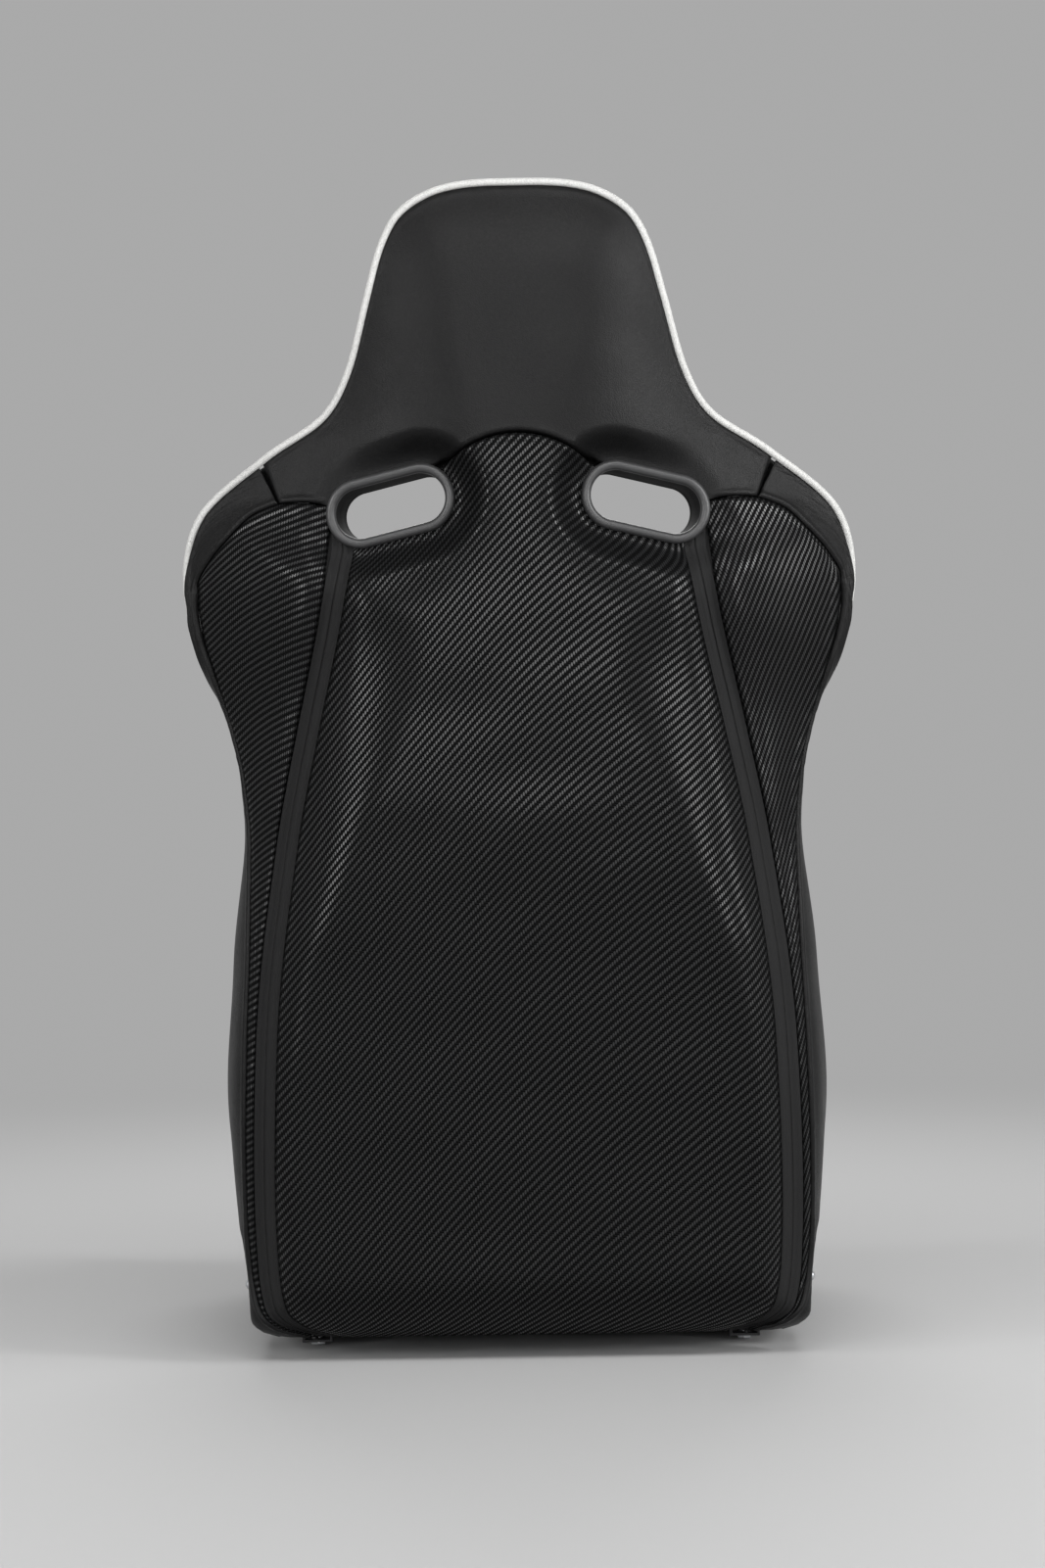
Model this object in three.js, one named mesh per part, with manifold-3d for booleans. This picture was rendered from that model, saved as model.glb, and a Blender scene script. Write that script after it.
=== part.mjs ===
// Reclining racing seat: tubular steel frame, moulded foam pads, a zipped leatherette and twill cover,
// two harness slots with moulded bezels, and a lever-released disc recliner on each side.
// Millimetres, +Z up, the occupant looks along +Y. The recliner axis lies along X at y = 0 until the
// whole seat is moved so that the origin sits under the middle of its bounding box.

import * as THREE from 'three';
import { mergeVertices } from 'three/addons/utils/BufferGeometryUtils.js';
import Module from 'manifold-3d';

const wasm = await Module();
wasm.setup();

// ---------------------------------------------------------------- driving dimensions

// Clearances
const FIT_GAP = 0.35;            // between pieces that rest on each other
const SEAM_GAP = 0.8;            // between two cover panels along their seam
const RUNNING_GAP = 0.6;         // round a turning piece

// Backrest outline seen from behind: half widths and heights above the mounting plane
const BACK_TOP = 950;
const HEAD_HALF = 121;
const HEAD_Z = 858;
const NECK_HALF = 157;
const NECK_Z = 766;
const SHOULDER_HALF = 275;
const SHOULDER_Z = 640;
const WAIST_HALF = 227;
const WAIST_Z = 435;
const HIP_HALF = 245.5;
const HIP_Z = 190;
const FOOT_HALF = 228;
const FOOT_Z = 34;
const BACK_BOTTOM = 18;
const FOOT_CORNER = 34;          // width of the rounded lower corner

// Depths of the backrest from the recliner axis, negative to the rear
const REAR_LUMBAR_Y = -114;      // rear centre line low down
const REAR_KNEE_Y = -151;        // rear centre line at the knee
const REAR_KNEE_Z = 455;
const REAR_HEAD_Y = -144;
const EDGE_HEAD_Y = -112;        // joint between rear and front cover
const EDGE_SHOULDER_Y = -44;
const EDGE_HIP_Y = -58;
const EDGE_FOOT_Y = -66;
const FRONT_SEAT_Y = 36;         // front centre line where it meets the seat cushion
const FRONT_CHEST_Y = -78;
const FRONT_HEAD_Y = -72;
const CREST_HIP_Y = 90;          // front crest of the hip bolsters
const CREST_HIP_Z = 250;
const CREST_SHOULDER_Y = 8;      // front crest of the shoulder wings
const PIPING_HIP_Y = 70;         // front edge of the side gussets at the hips

// Cover
const SKIN = 2.5;                // cover with its thin backing foam
const PIPING_RADIUS = 3;
const ZIP_WIDTH = 17.5;
const ZIP_TAPE = 1.4;
const ZIP_RIDGE = 2;
const VALLEY_DEPTH = 11;         // channel in which each zip lies
const VALLEY_WIDTH = 15;
const ARCH_HALF = 52;            // top of the centre panel between the slots
const ARCH_Z = 744;
const CAVITY = 46;               // room for the frame between rear cover and front pads

// Harness slots
const SLOT_X = 102;
const SLOT_Z = 690;
const SLOT_LENGTH = 90;          // clear opening
const SLOT_HEIGHT = 40;
const SLOT_TILT = 13;            // outer end lower, degrees
const SLOT_YAW = 8;              // follows the sweep of the shoulder, degrees
const SLOT_REAR_Y = -115;        // rear face of the cover at the middle of the slot
const SLOT_DEPTH = 46;           // from the rear cover to the front cover
const BEZEL_WALL = 2;
const BEZEL_LIP = 8;             // flange beyond the clear opening
const BEZEL_RISE = 4;

// Back frame
const HOOP_RADIUS = 8.5;
const STRAP_THICKNESS = 2.2;
const STRAP_HEIGHT = 46;

// Recliner, outward from the middle plane of the seat
const PIVOT_Z = 55;
const ARM_X = 205;
const ARM_THICKNESS = 4;
const DISC_RADIUS = 35;
const DISC_THICKNESS = 5.4;
const BRACKET_THICKNESS = 4;
const SLEEVE_RADIUS = 8.5;
const SHAFT_RADIUS = 5;
const SPRING_WIDTH = 6;
const SPRING_STRIP = 1.5;
const SPRING_TURNS = 3.25;
const LEVER_THICKNESS = 4.2;
const LEVER_REACH = 168;
const LEVER_HUB_RADIUS = 14;
const SCREW_RADIUS = 5;
const SCREW_DOME = 4.2;

// Seat base
const RAIL_X = 178;
const RAIL_WIDTH = 25;
const RAIL_HEIGHT = 22;
const RAIL_WALL = 2;
const RAIL_REAR_Y = 14;
const RAIL_FRONT_Y = 446;
const BOLT_REAR_Y = 32;
const BOLT_PITCH = 285;
const BOLT_HEAD = 4;
const BOLT_ACROSS = 11;
const BOLT_RADIUS = 4;
const CROSS_RADIUS = 11;
const CROSS_REAR_Y = 62;
const CROSS_FRONT_Y = 428;
const CROSS_Z = 31;
const SEAT_WIRE = 1.8;
const SEAT_SPRING_COUNT = 4;
const SEAT_SPRING_SPACING = 56;
const SEAT_SPRING_SWING = 20;
const SEAT_SPRING_BENDS = 9;
const SEAT_FRONT_Y = 482;
const SEAT_HALF = 112;           // half width of the seat's centre cushion
const SEAT_OUTER_HALF = 240;
const SEAT_TOP_REAR_Z = 142;
const SEAT_TOP_FRONT_Z = 168;
const THIGH_CREST_Z = 226;
const THIGH_RECESS = 78;         // the recess for the release lever ends this far below the crest
const SEAT_REAR_LEAN = 0.6;      // how far the rear of the thigh bolsters leans forward per unit of height
const SEAT_REAR_Y = 70;          // rear end of the thigh bolsters at SEAT_REAR_Z
const SEAT_REAR_Z = 80;

// ---------------------------------------------------------------- materials

const material = (color, roughness, metalness) =>
  new THREE.MeshStandardMaterial({ color, roughness, metalness });
const LEATHERETTE = 0x17171a;
const TWILL = 0x1d1e22;
const PIPING_WHITE = 0xe9e9e6;
const ZIP_BLACK = 0x101012;
const PLASTIC_BLACK = 0x141416;
const FRAME_BLACK = 0x1b1c1e;
const ZINC = 0xb9bcc0;
const WEBBING = 0x2a2a2c;

// ---------------------------------------------------------------- geometry helpers

const { clamp, degToRad, lerp, smoothstep } = THREE.MathUtils;

/** Smooth curve without overshoot through [key, value] stations; returns value(key). */
function profile(stations) {
  const sorted = [...stations].sort((a, b) => a[0] - b[0]);
  const keys = sorted.map(([key]) => key);
  const values = sorted.map(([, value]) => value);
  const steps = keys.slice(1).map((key, i) => key - keys[i]);
  const slopes = steps.map((step, i) => (values[i + 1] - values[i]) / step);
  const tangents = keys.map((_, i) => {
    if (i === 0) return slopes[0];
    if (i === keys.length - 1) return slopes[i - 1];
    if (slopes[i - 1] * slopes[i] <= 0) return 0;
    const before = 2 * steps[i] + steps[i - 1];
    const after = steps[i] + 2 * steps[i - 1];
    return (before + after) / (before / slopes[i - 1] + after / slopes[i]);
  });
  return (key) => {
    if (key <= keys[0]) return values[0];
    if (key >= keys.at(-1)) return values.at(-1);
    const i = keys.findIndex((_, k) => key < keys[k + 1]);
    const t = (key - keys[i]) / steps[i];
    const rest = 1 - t;
    return values[i] * (1 + 2 * t) * rest * rest + values[i + 1] * t * t * (3 - 2 * t)
      + steps[i] * t * rest * (tangents[i] * rest - tangents[i + 1] * t);
  };
}

/** Even steps from `from` to `to`, both included. */
const steps = (from, to, count) =>
  Array.from({ length: count + 1 }, (_, i) => lerp(from, to, i / count));

/** Point at a fraction of a polyline's length. */
function alongPolyline(points, fraction) {
  const lengths = points.slice(1).map((p, i) => Math.hypot(p[0] - points[i][0], p[1] - points[i][1]));
  const total = lengths.reduce((sum, length) => sum + length, 0);
  let left = clamp(fraction, 0, 1) * total;
  for (let i = 0; i < lengths.length; i++) {
    if (left <= lengths[i] || i === lengths.length - 1) {
      const t = Math.min(1, left / lengths[i]);
      return [lerp(points[i][0], points[i + 1][0], t), lerp(points[i][1], points[i + 1][1], t)];
    }
    left -= lengths[i];
  }
  return points.at(-1);
}

/** Geometry from vertices and triangles, turned so that its faces point outward. */
function closedGeometry(vertices, triangles) {
  const a = new THREE.Vector3();
  const b = new THREE.Vector3();
  const c = new THREE.Vector3();
  let volume = 0;
  for (const [i, j, k] of triangles) {
    a.fromArray(vertices[i]);
    b.fromArray(vertices[j]);
    c.fromArray(vertices[k]);
    volume += a.dot(b.cross(c));
  }
  const faces = volume < 0 ? triangles.map(([i, j, k]) => [i, k, j]) : triangles;
  const geometry = new THREE.BufferGeometry();
  geometry.setAttribute('position', new THREE.Float32BufferAttribute(vertices.flat(), 3));
  geometry.setIndex(faces.flat());
  return geometry;
}

/** Closed slab between two grids of points of the same size (rows of columns). */
function slabBetween(outer, inner) {
  const rows = outer.length;
  const columns = outer[0].length;
  const vertices = [...outer.flat(), ...inner.flat()];
  const half = rows * columns;
  const at = (row, column, side) => side * half + row * columns + column;
  const triangles = [];
  const quad = (a, b, c, d) => triangles.push([a, b, c], [a, c, d]);
  for (let r = 0; r < rows - 1; r++) {
    for (let c = 0; c < columns - 1; c++) {
      quad(at(r, c, 0), at(r, c + 1, 0), at(r + 1, c + 1, 0), at(r + 1, c, 0));
      quad(at(r, c, 1), at(r + 1, c, 1), at(r + 1, c + 1, 1), at(r, c + 1, 1));
    }
  }
  for (let c = 0; c < columns - 1; c++) {
    quad(at(0, c, 0), at(0, c, 1), at(0, c + 1, 1), at(0, c + 1, 0));
    quad(at(rows - 1, c, 0), at(rows - 1, c + 1, 0), at(rows - 1, c + 1, 1), at(rows - 1, c, 1));
  }
  for (let r = 0; r < rows - 1; r++) {
    quad(at(r, 0, 0), at(r + 1, 0, 0), at(r + 1, 0, 1), at(r, 0, 1));
    quad(at(r, columns - 1, 0), at(r, columns - 1, 1), at(r + 1, columns - 1, 1), at(r + 1, columns - 1, 0));
  }
  return closedGeometry(vertices, triangles);
}

/** Closed slab whose plan is a grid of [x, z] points, between the heights rear(x, z) and front(x, z). */
function slabOverPlan(plan, rear, front) {
  const lift = (height) => plan.map((row) => row.map(([x, z]) => [x, height(x, z), z]));
  return slabBetween(lift(rear), lift(front));
}

/** Geometry mirrored in the plane x = 0. */
function mirrored(geometry) {
  const copy = geometry.index ? geometry.clone() : mergeVertices(positionOnly(geometry));
  copy.scale(-1, 1, 1);
  const index = Array.from(copy.index.array);
  for (let i = 0; i < index.length; i += 3) [index[i + 1], index[i + 2]] = [index[i + 2], index[i + 1]];
  copy.setIndex(index);
  return copy;
}

/** Copy that carries nothing but its vertex positions. */
function positionOnly(geometry) {
  const copy = geometry.clone();
  copy.deleteAttribute('normal');
  copy.deleteAttribute('uv');
  return copy;
}

function toSolid(geometry) {
  const merged = mergeVertices(positionOnly(geometry), 1e-4);
  const vertProperties = new Float32Array(merged.attributes.position.array);
  const triVerts = new Uint32Array(merged.index.array);
  return new wasm.Manifold(new wasm.Mesh({ numProp: 3, vertProperties, triVerts }));
}

function fromSolid(solid) {
  const mesh = solid.getMesh();
  const geometry = new THREE.BufferGeometry();
  geometry.setAttribute('position', new THREE.BufferAttribute(new Float32Array(mesh.vertProperties), 3));
  geometry.setIndex(Array.from(mesh.triVerts));
  return geometry;
}

const joined = (...geometries) => fromSolid(geometries.map(toSolid).reduce((sum, solid) => sum.add(solid)));

/** The geometry less the tools; scraps that a cut frees at an edge fall away. */
function cut(geometry, ...tools) {
  const rest = tools.map(toSolid).reduce((left, tool) => left.subtract(tool), toSolid(geometry));
  const bodies = rest.decompose().sort((a, b) => b.volume() - a.volume());
  return fromSolid(bodies[0]);
}

/** Round bar or tube along a curve. */
function barAlong(curve, radius, count, sides) {
  const section = new THREE.Shape();
  for (let i = 0; i < sides; i++) {
    const angle = (2 * Math.PI * i) / sides;
    const point = [radius * Math.cos(angle), radius * Math.sin(angle)];
    if (i === 0) section.moveTo(...point);
    else section.lineTo(...point);
  }
  section.closePath();
  return new THREE.ExtrudeGeometry(section, { steps: count, extrudePath: curve });
}

/** Plate outline given in (y, z), from x to x + thickness. */
function plateAcross(shape, x, thickness, curveSegments = 8) {
  const plate = new THREE.ExtrudeGeometry(shape, { depth: thickness, bevelEnabled: false, curveSegments });
  plate.applyMatrix4(new THREE.Matrix4().makeBasis(
    new THREE.Vector3(0, 1, 0), new THREE.Vector3(0, 0, 1), new THREE.Vector3(1, 0, 0)));
  plate.translate(x, 0, 0);
  return plate;
}

/** Body turned round the X axis through (y, z); the profile is a list of [radius, x]. */
function turnedAcross(points, y, z, segments) {
  const body = new THREE.LatheGeometry(points.map(([radius, x]) => new THREE.Vector2(radius, x)), segments);
  body.rotateZ(-Math.PI / 2);
  body.translate(0, y, z);
  return body;
}

/** Box from its lower and upper corner. */
function boxBetween(low, high) {
  const box = new THREE.BoxGeometry(...high.map((value, i) => value - low[i]));
  box.translate(...high.map((value, i) => (value + low[i]) / 2));
  return box;
}

// ---------------------------------------------------------------- form of the backrest

/** Head outline from its top centre to its widest point, as shares of its half width and height. */
const HEAD_CAP = [[0, 1], [0.2, 0.998], [0.38, 0.977], [0.53, 0.93], [0.66, 0.85], [0.75, 0.765],
  [0.815, 0.67], [0.88, 0.513], [0.93, 0.341], [0.966, 0.171], [1, 0]];

/** Right half of the outline from the top centre to the bottom centre, as [x, z] points. */
const outline = (() => {
  const smoothLine = (points, count) => new THREE.CatmullRomCurve3(
    points.map(([x, z]) => new THREE.Vector3(x, 0, z)), false, 'centripetal')
    .getSpacedPoints(count).map((p) => [p.x, p.z]);
  const cap = smoothLine(HEAD_CAP.map(([x, z]) => [x * HEAD_HALF, lerp(HEAD_Z, BACK_TOP, z)]), 14);
  const onSlope = (across, down) => [lerp(NECK_HALF, SHOULDER_HALF, across), lerp(NECK_Z, SHOULDER_Z, down)];
  const underArm = (across, down) =>
    [lerp(SHOULDER_HALF, WAIST_HALF, across), lerp(SHOULDER_Z, WAIST_Z, down)];
  const flankPoints = [
    [HEAD_HALF, HEAD_Z],
    [lerp(HEAD_HALF, NECK_HALF, 0.5), lerp(HEAD_Z, NECK_Z, 0.68)],
    [NECK_HALF, NECK_Z],
    onSlope(0.41, 0.25),
    onSlope(0.88, 0.61),
    [SHOULDER_HALF, SHOULDER_Z],
    underArm(0.24, 0.32),
    underArm(0.77, 0.62),
    [WAIST_HALF, WAIST_Z],
    [lerp(WAIST_HALF, HIP_HALF, 0.68), lerp(WAIST_Z, HIP_Z, 0.45)],
    [HIP_HALF, HIP_Z],
    [lerp(HIP_HALF, FOOT_HALF, 0.78), lerp(HIP_Z, FOOT_Z, 0.72)],
    [FOOT_HALF, FOOT_Z],
  ];
  const flankLine = smoothLine(flankPoints, 72).slice(1);
  const corner = steps(0, 90, 5).slice(1).map((degrees) => {
    const angle = degToRad(degrees);
    return [
      FOOT_HALF - FOOT_CORNER * (1 - Math.cos(angle)),
      FOOT_Z - (FOOT_Z - BACK_BOTTOM) * Math.sin(angle),
    ];
  });
  return [...cap, ...flankLine, ...corner, [0, BACK_BOTTOM]];
})();

/** Half width of the backrest at a height. */
function halfWidth(z) {
  const i = outline.findIndex(([, height], k) => k > 0 && height <= z);
  if (i < 0) return outline.at(-2)[0];
  const [x1, z1] = outline[i];
  const [x0, z0] = outline[i - 1];
  return z0 === z1 ? x1 : lerp(x0, x1, clamp((z0 - z) / (z0 - z1), 0, 1));
}

/** Distance of a point from the outline. */
function insetAt(x, z) {
  let least = Infinity;
  for (let i = 1; i < outline.length; i++) {
    const [x0, z0] = outline[i - 1];
    const [x1, z1] = outline[i];
    const dx = x1 - x0;
    const dz = z1 - z0;
    const t = clamp(((Math.abs(x) - x0) * dx + (z - z0) * dz) / (dx * dx + dz * dz || 1), 0, 1);
    least = Math.min(least, Math.hypot(Math.abs(x) - x0 - t * dx, z - z0 - t * dz));
  }
  return least;
}

/** The outline from one height to a lower one, moved in by a distance. */
function outlineMovedIn(distance, zHigh, zLow, count) {
  const moved = [];
  for (let i = 0; i < outline.length; i++) {
    const [x0, z0] = outline[Math.max(0, i - 1)];
    const [x1, z1] = outline[Math.min(outline.length - 1, i + 1)];
    const length = Math.hypot(x1 - x0, z1 - z0) || 1;
    const [x, z] = outline[i];
    moved.push([x + ((z1 - z0) / length) * distance, z - ((x1 - x0) / length) * distance]);
  }
  moved[0] = [0, outline[0][1] - distance];
  const kept = moved.filter(([x, z]) => x >= 0 && z <= zHigh && z >= zLow);
  return steps(0, 1, count).map((fraction) => alongPolyline(kept, fraction));
}

const rearCentreY = profile([
  [BACK_BOTTOM, REAR_LUMBAR_Y + 10],
  [120, REAR_LUMBAR_Y],
  [260, lerp(REAR_LUMBAR_Y, REAR_KNEE_Y, 0.42)],
  [REAR_KNEE_Z, REAR_KNEE_Y],
  [SHOULDER_Z, REAR_KNEE_Y - 2],
  [NECK_Z, REAR_KNEE_Y + 1],
  [HEAD_Z, REAR_HEAD_Y],
  [BACK_TOP, REAR_HEAD_Y + 8],
]);
const edgeY = profile([
  [BACK_BOTTOM, EDGE_FOOT_Y],
  [HIP_Z, EDGE_HIP_Y],
  [WAIST_Z, EDGE_HIP_Y],
  [550, lerp(EDGE_HIP_Y, EDGE_SHOULDER_Y, 0.7)],
  [SHOULDER_Z, EDGE_SHOULDER_Y],
  [690, EDGE_SHOULDER_Y - 9],
  [NECK_Z - 16, lerp(EDGE_SHOULDER_Y, EDGE_HEAD_Y, 0.66)],
  [HEAD_Z, EDGE_HEAD_Y],
  [BACK_TOP, EDGE_HEAD_Y - 5],
]);
const rollWidth = profile([
  [BACK_BOTTOM, 48],
  [HIP_Z, 58],
  [WAIST_Z, 110],
  [560, 175],
  [SHOULDER_Z, 190],
  [NECK_Z, 110],
  [HEAD_Z, 74],
  [BACK_TOP, 70],
]);
const ROLL_POWER = 1.8;

/** 0 at the outline, 1 where the rear reaches its full depth. */
const fullness = (x, z) => 1 - (1 - Math.min(1, insetAt(x, z) / rollWidth(z))) ** ROLL_POWER;

/** Middle line of the zips: distance from the centre at each height. */
const zipX = profile([[655, 141], [592, 153], [513, 171], [419, 190], [260, 209], [125, 213], [78, 211.5],
  [44, 206], [27, 190], [BACK_BOTTOM + 1, 164]]);
const zipFade = profile([[620, 1], [690, 0]]);

/** Outer seam of the rear side panels. */
const sideSeamX = profile([[630, 262], [616, 262], [588, 258], [561, 250], [533, 241.5], [509, 234.5],
  [478, 227], [419, 221.5], [350, 222], [260, 225.5], [125, 228.5], [78, 226], [44, 219], [27, 204],
  [BACK_BOTTOM + 1, 179]]);

// ---------------------------------------------------------------- harness slots

const slotTurn = new THREE.Matrix4().makeRotationZ(degToRad(SLOT_YAW))
  .multiply(new THREE.Matrix4().makeRotationY(degToRad(SLOT_TILT)));
const slotPlace = new THREE.Matrix4().makeTranslation(SLOT_X, SLOT_REAR_Y, SLOT_Z).multiply(slotTurn);

/** Height in y of the flat seat round a slot, `depth` ahead of the rear cover. */
const slotPlaneY = (x, depth) => {
  const yaw = degToRad(SLOT_YAW);
  return SLOT_REAR_Y + depth / Math.cos(yaw) + (Math.abs(x) - SLOT_X) * Math.tan(yaw);
};

/** Distance outside the clear opening of a slot, seen along y; the slot drifts inward with depth. */
function outsideSlot(x, z, depth) {
  const tilt = degToRad(SLOT_TILT);
  const across = Math.abs(x) - (SLOT_X - depth * Math.sin(degToRad(SLOT_YAW)));
  const up = z - SLOT_Z;
  const along = across * Math.cos(tilt) - up * Math.sin(tilt);
  const aside = across * Math.sin(tilt) + up * Math.cos(tilt);
  const straight = (SLOT_LENGTH - SLOT_HEIGHT) / 2;
  return Math.hypot(Math.max(0, Math.abs(along) - straight), aside) - SLOT_HEIGHT / 2;
}

/** Blends a surface into the flat seat round the slots. */
function flattened(y, x, z, depth) {
  const seat = smoothstep(outsideSlot(x, z, depth), BEZEL_LIP + 3, BEZEL_LIP + 34);
  return lerp(slotPlaneY(x, depth), y, seat);
}

/** Stadium outline in the plane of a slot, grown by a distance. */
function slotOutline(grow) {
  const radius = SLOT_HEIGHT / 2 + grow;
  const straight = (SLOT_LENGTH - SLOT_HEIGHT) / 2;
  const shape = new THREE.Shape();
  shape.absarc(straight, 0, radius, -Math.PI / 2, Math.PI / 2, false);
  shape.absarc(-straight, 0, radius, Math.PI / 2, (3 * Math.PI) / 2, false);
  shape.closePath();
  return shape;
}

/** Prism along the axis of the right slot, from one depth to another. */
function slotPrism(shape, depthFrom, depthTo) {
  const prism = new THREE.ExtrudeGeometry(shape, {
    depth: depthTo - depthFrom, bevelEnabled: false, curveSegments: 4,
  });
  prism.applyMatrix4(new THREE.Matrix4().makeBasis(
    new THREE.Vector3(1, 0, 0), new THREE.Vector3(0, 0, 1), new THREE.Vector3(0, -1, 0)));
  prism.translate(0, depthTo, 0);
  prism.applyMatrix4(slotPlace);
  return prism;
}

// ---------------------------------------------------------------- surfaces of the backrest

const pillowY = (x, z) => lerp(edgeY(z), rearCentreY(z), fullness(x, z));

function rearY(x, z) {
  const valley = VALLEY_DEPTH * zipFade(z) * Math.exp(-(((Math.abs(x) - zipX(z)) / VALLEY_WIDTH) ** 2));
  return flattened(pillowY(x, z) + valley, x, z, 0);
}

const frontCentreY = profile([
  [85, FRONT_SEAT_Y + 7],
  [120, FRONT_SEAT_Y],
  [160, FRONT_SEAT_Y - 10],
  [290, lerp(FRONT_SEAT_Y, FRONT_CHEST_Y, 0.52)],
  [WAIST_Z, lerp(FRONT_SEAT_Y, FRONT_CHEST_Y, 0.86)],
  [600, FRONT_CHEST_Y],
  [690, FRONT_CHEST_Y + 4],
  [NECK_Z + 10, FRONT_HEAD_Y],
  [HEAD_Z, FRONT_HEAD_Y - 3],
  [BACK_TOP, FRONT_HEAD_Y - 14],
]);
const crestY = profile([
  [95, CREST_HIP_Y - 42],
  [150, CREST_HIP_Y - 14],
  [CREST_HIP_Z, CREST_HIP_Y],
  [350, CREST_HIP_Y - 20],
  [WAIST_Z + 15, lerp(CREST_HIP_Y, CREST_SHOULDER_Y, 0.72)],
  [560, CREST_SHOULDER_Y],
  [SHOULDER_Z, CREST_SHOULDER_Y - 4],
  [700, CREST_SHOULDER_Y - 30],
  [ARCH_Z, CREST_SHOULDER_Y - 54],
]);

/** Height in y of the piping line between the side gusset and the front cover. */
const pipingY = profile([
  [92, PIPING_HIP_Y - 58],
  [130, PIPING_HIP_Y - 16],
  [CREST_HIP_Z, PIPING_HIP_Y],
  [350, PIPING_HIP_Y - 14],
  [WAIST_Z, PIPING_HIP_Y - 52],
  [514, EDGE_SHOULDER_Y + 22],
  [575, EDGE_SHOULDER_Y + 10],
  [SHOULDER_Z, edgeY(SHOULDER_Z)],
  [690, edgeY(690)],
  [NECK_Z - 16, edgeY(NECK_Z - 16)],
  [HEAD_Z, edgeY(HEAD_Z)],
  [BACK_TOP, edgeY(BACK_TOP)],
]);
/** 1 where the gusset wraps round the side, 0 on the shoulders. */
const sideWrap = profile([[540, 1], [632, 0]]);
const PIPING_TUCK = 5;                               // how far the piping lies inside the outline at the hips
const coverInset = 2 * PIPING_RADIUS + 3 * FIT_GAP;   // of the cover's sewn edge from the outline

/** How far a pad's side lies inside the outline. */
const padInset = (z) => coverInset + (PIPING_TUCK + 2 * SEAM_GAP) * Math.min(1, 2 * sideWrap(z));

/** Half width of the centre cushion of the back. */
const chestHalf = profile([[85, 120], [200, 113], [360, 104], [600, 98], [ARCH_Z, 96]]);

/** Rear face of the front pads. */
const partingY = (x, z) => pillowY(x, z) + SKIN + FIT_GAP + CAVITY * fullness(x, z);

function bolsterY(x, z) {
  const inner = chestHalf(z);
  const outer = halfWidth(z) - padInset(z);
  const t = clamp((Math.abs(x) - inner) / (outer - inner), 0, 1);
  const edge = pipingY(z) + PIPING_RADIUS + 4;
  const foot = frontCentreY(z) + 5;
  const crestAt = 0.66;
  if (t < crestAt) return lerp(foot, crestY(z), smoothstep(t, -0.12, crestAt));
  const fall = ((t - crestAt) / (1 - crestAt)) ** 2.4;
  return lerp(crestY(z), Math.min(edge, crestY(z) - 2), fall);
}

// ---------------------------------------------------------------- rear cover

const COVER_ROWS = 15;
const COVER_ROW_TOP = 628;                // above this height the panels follow their own top seams
const CENTRE_CORNER_Z = 660;              // top corner of the centre panel under the bezel
const ZIP_TOP_Z = 671;                    // end of the tape under the bezel
const coverRows = steps(0, 1, COVER_ROWS).map((t) => lerp(BACK_BOTTOM + 1, COVER_ROW_TOP, t ** 1.75));
const panelEdge = ZIP_WIDTH / 2 + SEAM_GAP / 2;

/** Top seam of the right side panel, from under the bezel to the outer seam. */
const SIDE_TOP = [[150, 690], [171, 694], [193, 694], [215, 686], [234, 669], [250, 652], [262, 634]];
const SHOULDER_SEAM_START = 2;            // the gusset begins at this point of the top seam
const SHOULDER_SEAM_TOP_Z = 727;          // where the short shoulder seam meets the piping

const archZ = (x) => ARCH_Z - 18 * (x / ARCH_HALF) ** 2;
const centreTopZ = (x) => {
  if (Math.abs(x) <= ARCH_HALF) return archZ(x);
  const beyond = (Math.abs(x) - ARCH_HALF) / (zipX(ZIP_TOP_Z) - panelEdge - ARCH_HALF);
  return lerp(archZ(ARCH_HALF), CENTRE_CORNER_Z, beyond);
};

/** Cover panel of the given plan, lying on the rear surface. */
const coverPanel = (plan, inward = () => [0, 1]) => {
  const outer = plan.map((row) => row.map(([x, z]) => [x, rearY(x, z), z]));
  const inner = outer.map((row, r) => row.map(([x, y, z], c) => {
    const [dx, dy] = inward(r, c);
    return [x + dx * SKIN, y + dy * SKIN, z];
  }));
  return slabBetween(outer, inner);
};

/** Unit vector that halves the corner between the rear and the side cover; 0 keeps it along y. */
const mitre = (share) => {
  const length = Math.hypot(0.75 * share, 1);
  return [(-0.75 * share) / length, 1 / length];
};

/** Tools that open the right slot in a rear piece: the tunnel's hole and the flat seat of the flange. */
const slotHole = () => slotPrism(slotOutline(BEZEL_WALL + FIT_GAP), -40, SLOT_DEPTH + 60);
const rearSlotTools = () => [slotHole(), slotPrism(slotOutline(BEZEL_LIP + FIT_GAP), -40, 0)];
const frontSlotTools = () => [
  slotHole(),
  slotPrism(slotOutline(BEZEL_LIP + FIT_GAP), SLOT_DEPTH, SLOT_DEPTH + 60),
];
const bothSides = (tools) => [...tools, ...tools.map(mirrored)];

function rearCentrePanel() {
  const across = steps(-1, 1, 10).map((t) => Math.sin((t * Math.PI) / 2));
  const plan = coverRows.map((z) => across.map((u) => [u * (zipX(z) - panelEdge), z]));
  for (const t of steps(0, 1, 4).slice(1)) {
    plan.push(across.map((u) => {
      const x = u * (zipX(ZIP_TOP_Z) - panelEdge);
      const base = u * (zipX(COVER_ROW_TOP) - panelEdge);
      return [lerp(base, x, t), lerp(COVER_ROW_TOP, centreTopZ(x), t)];
    }));
  }
  return cut(coverPanel(plan), ...bothSides(rearSlotTools()));
}

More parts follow.
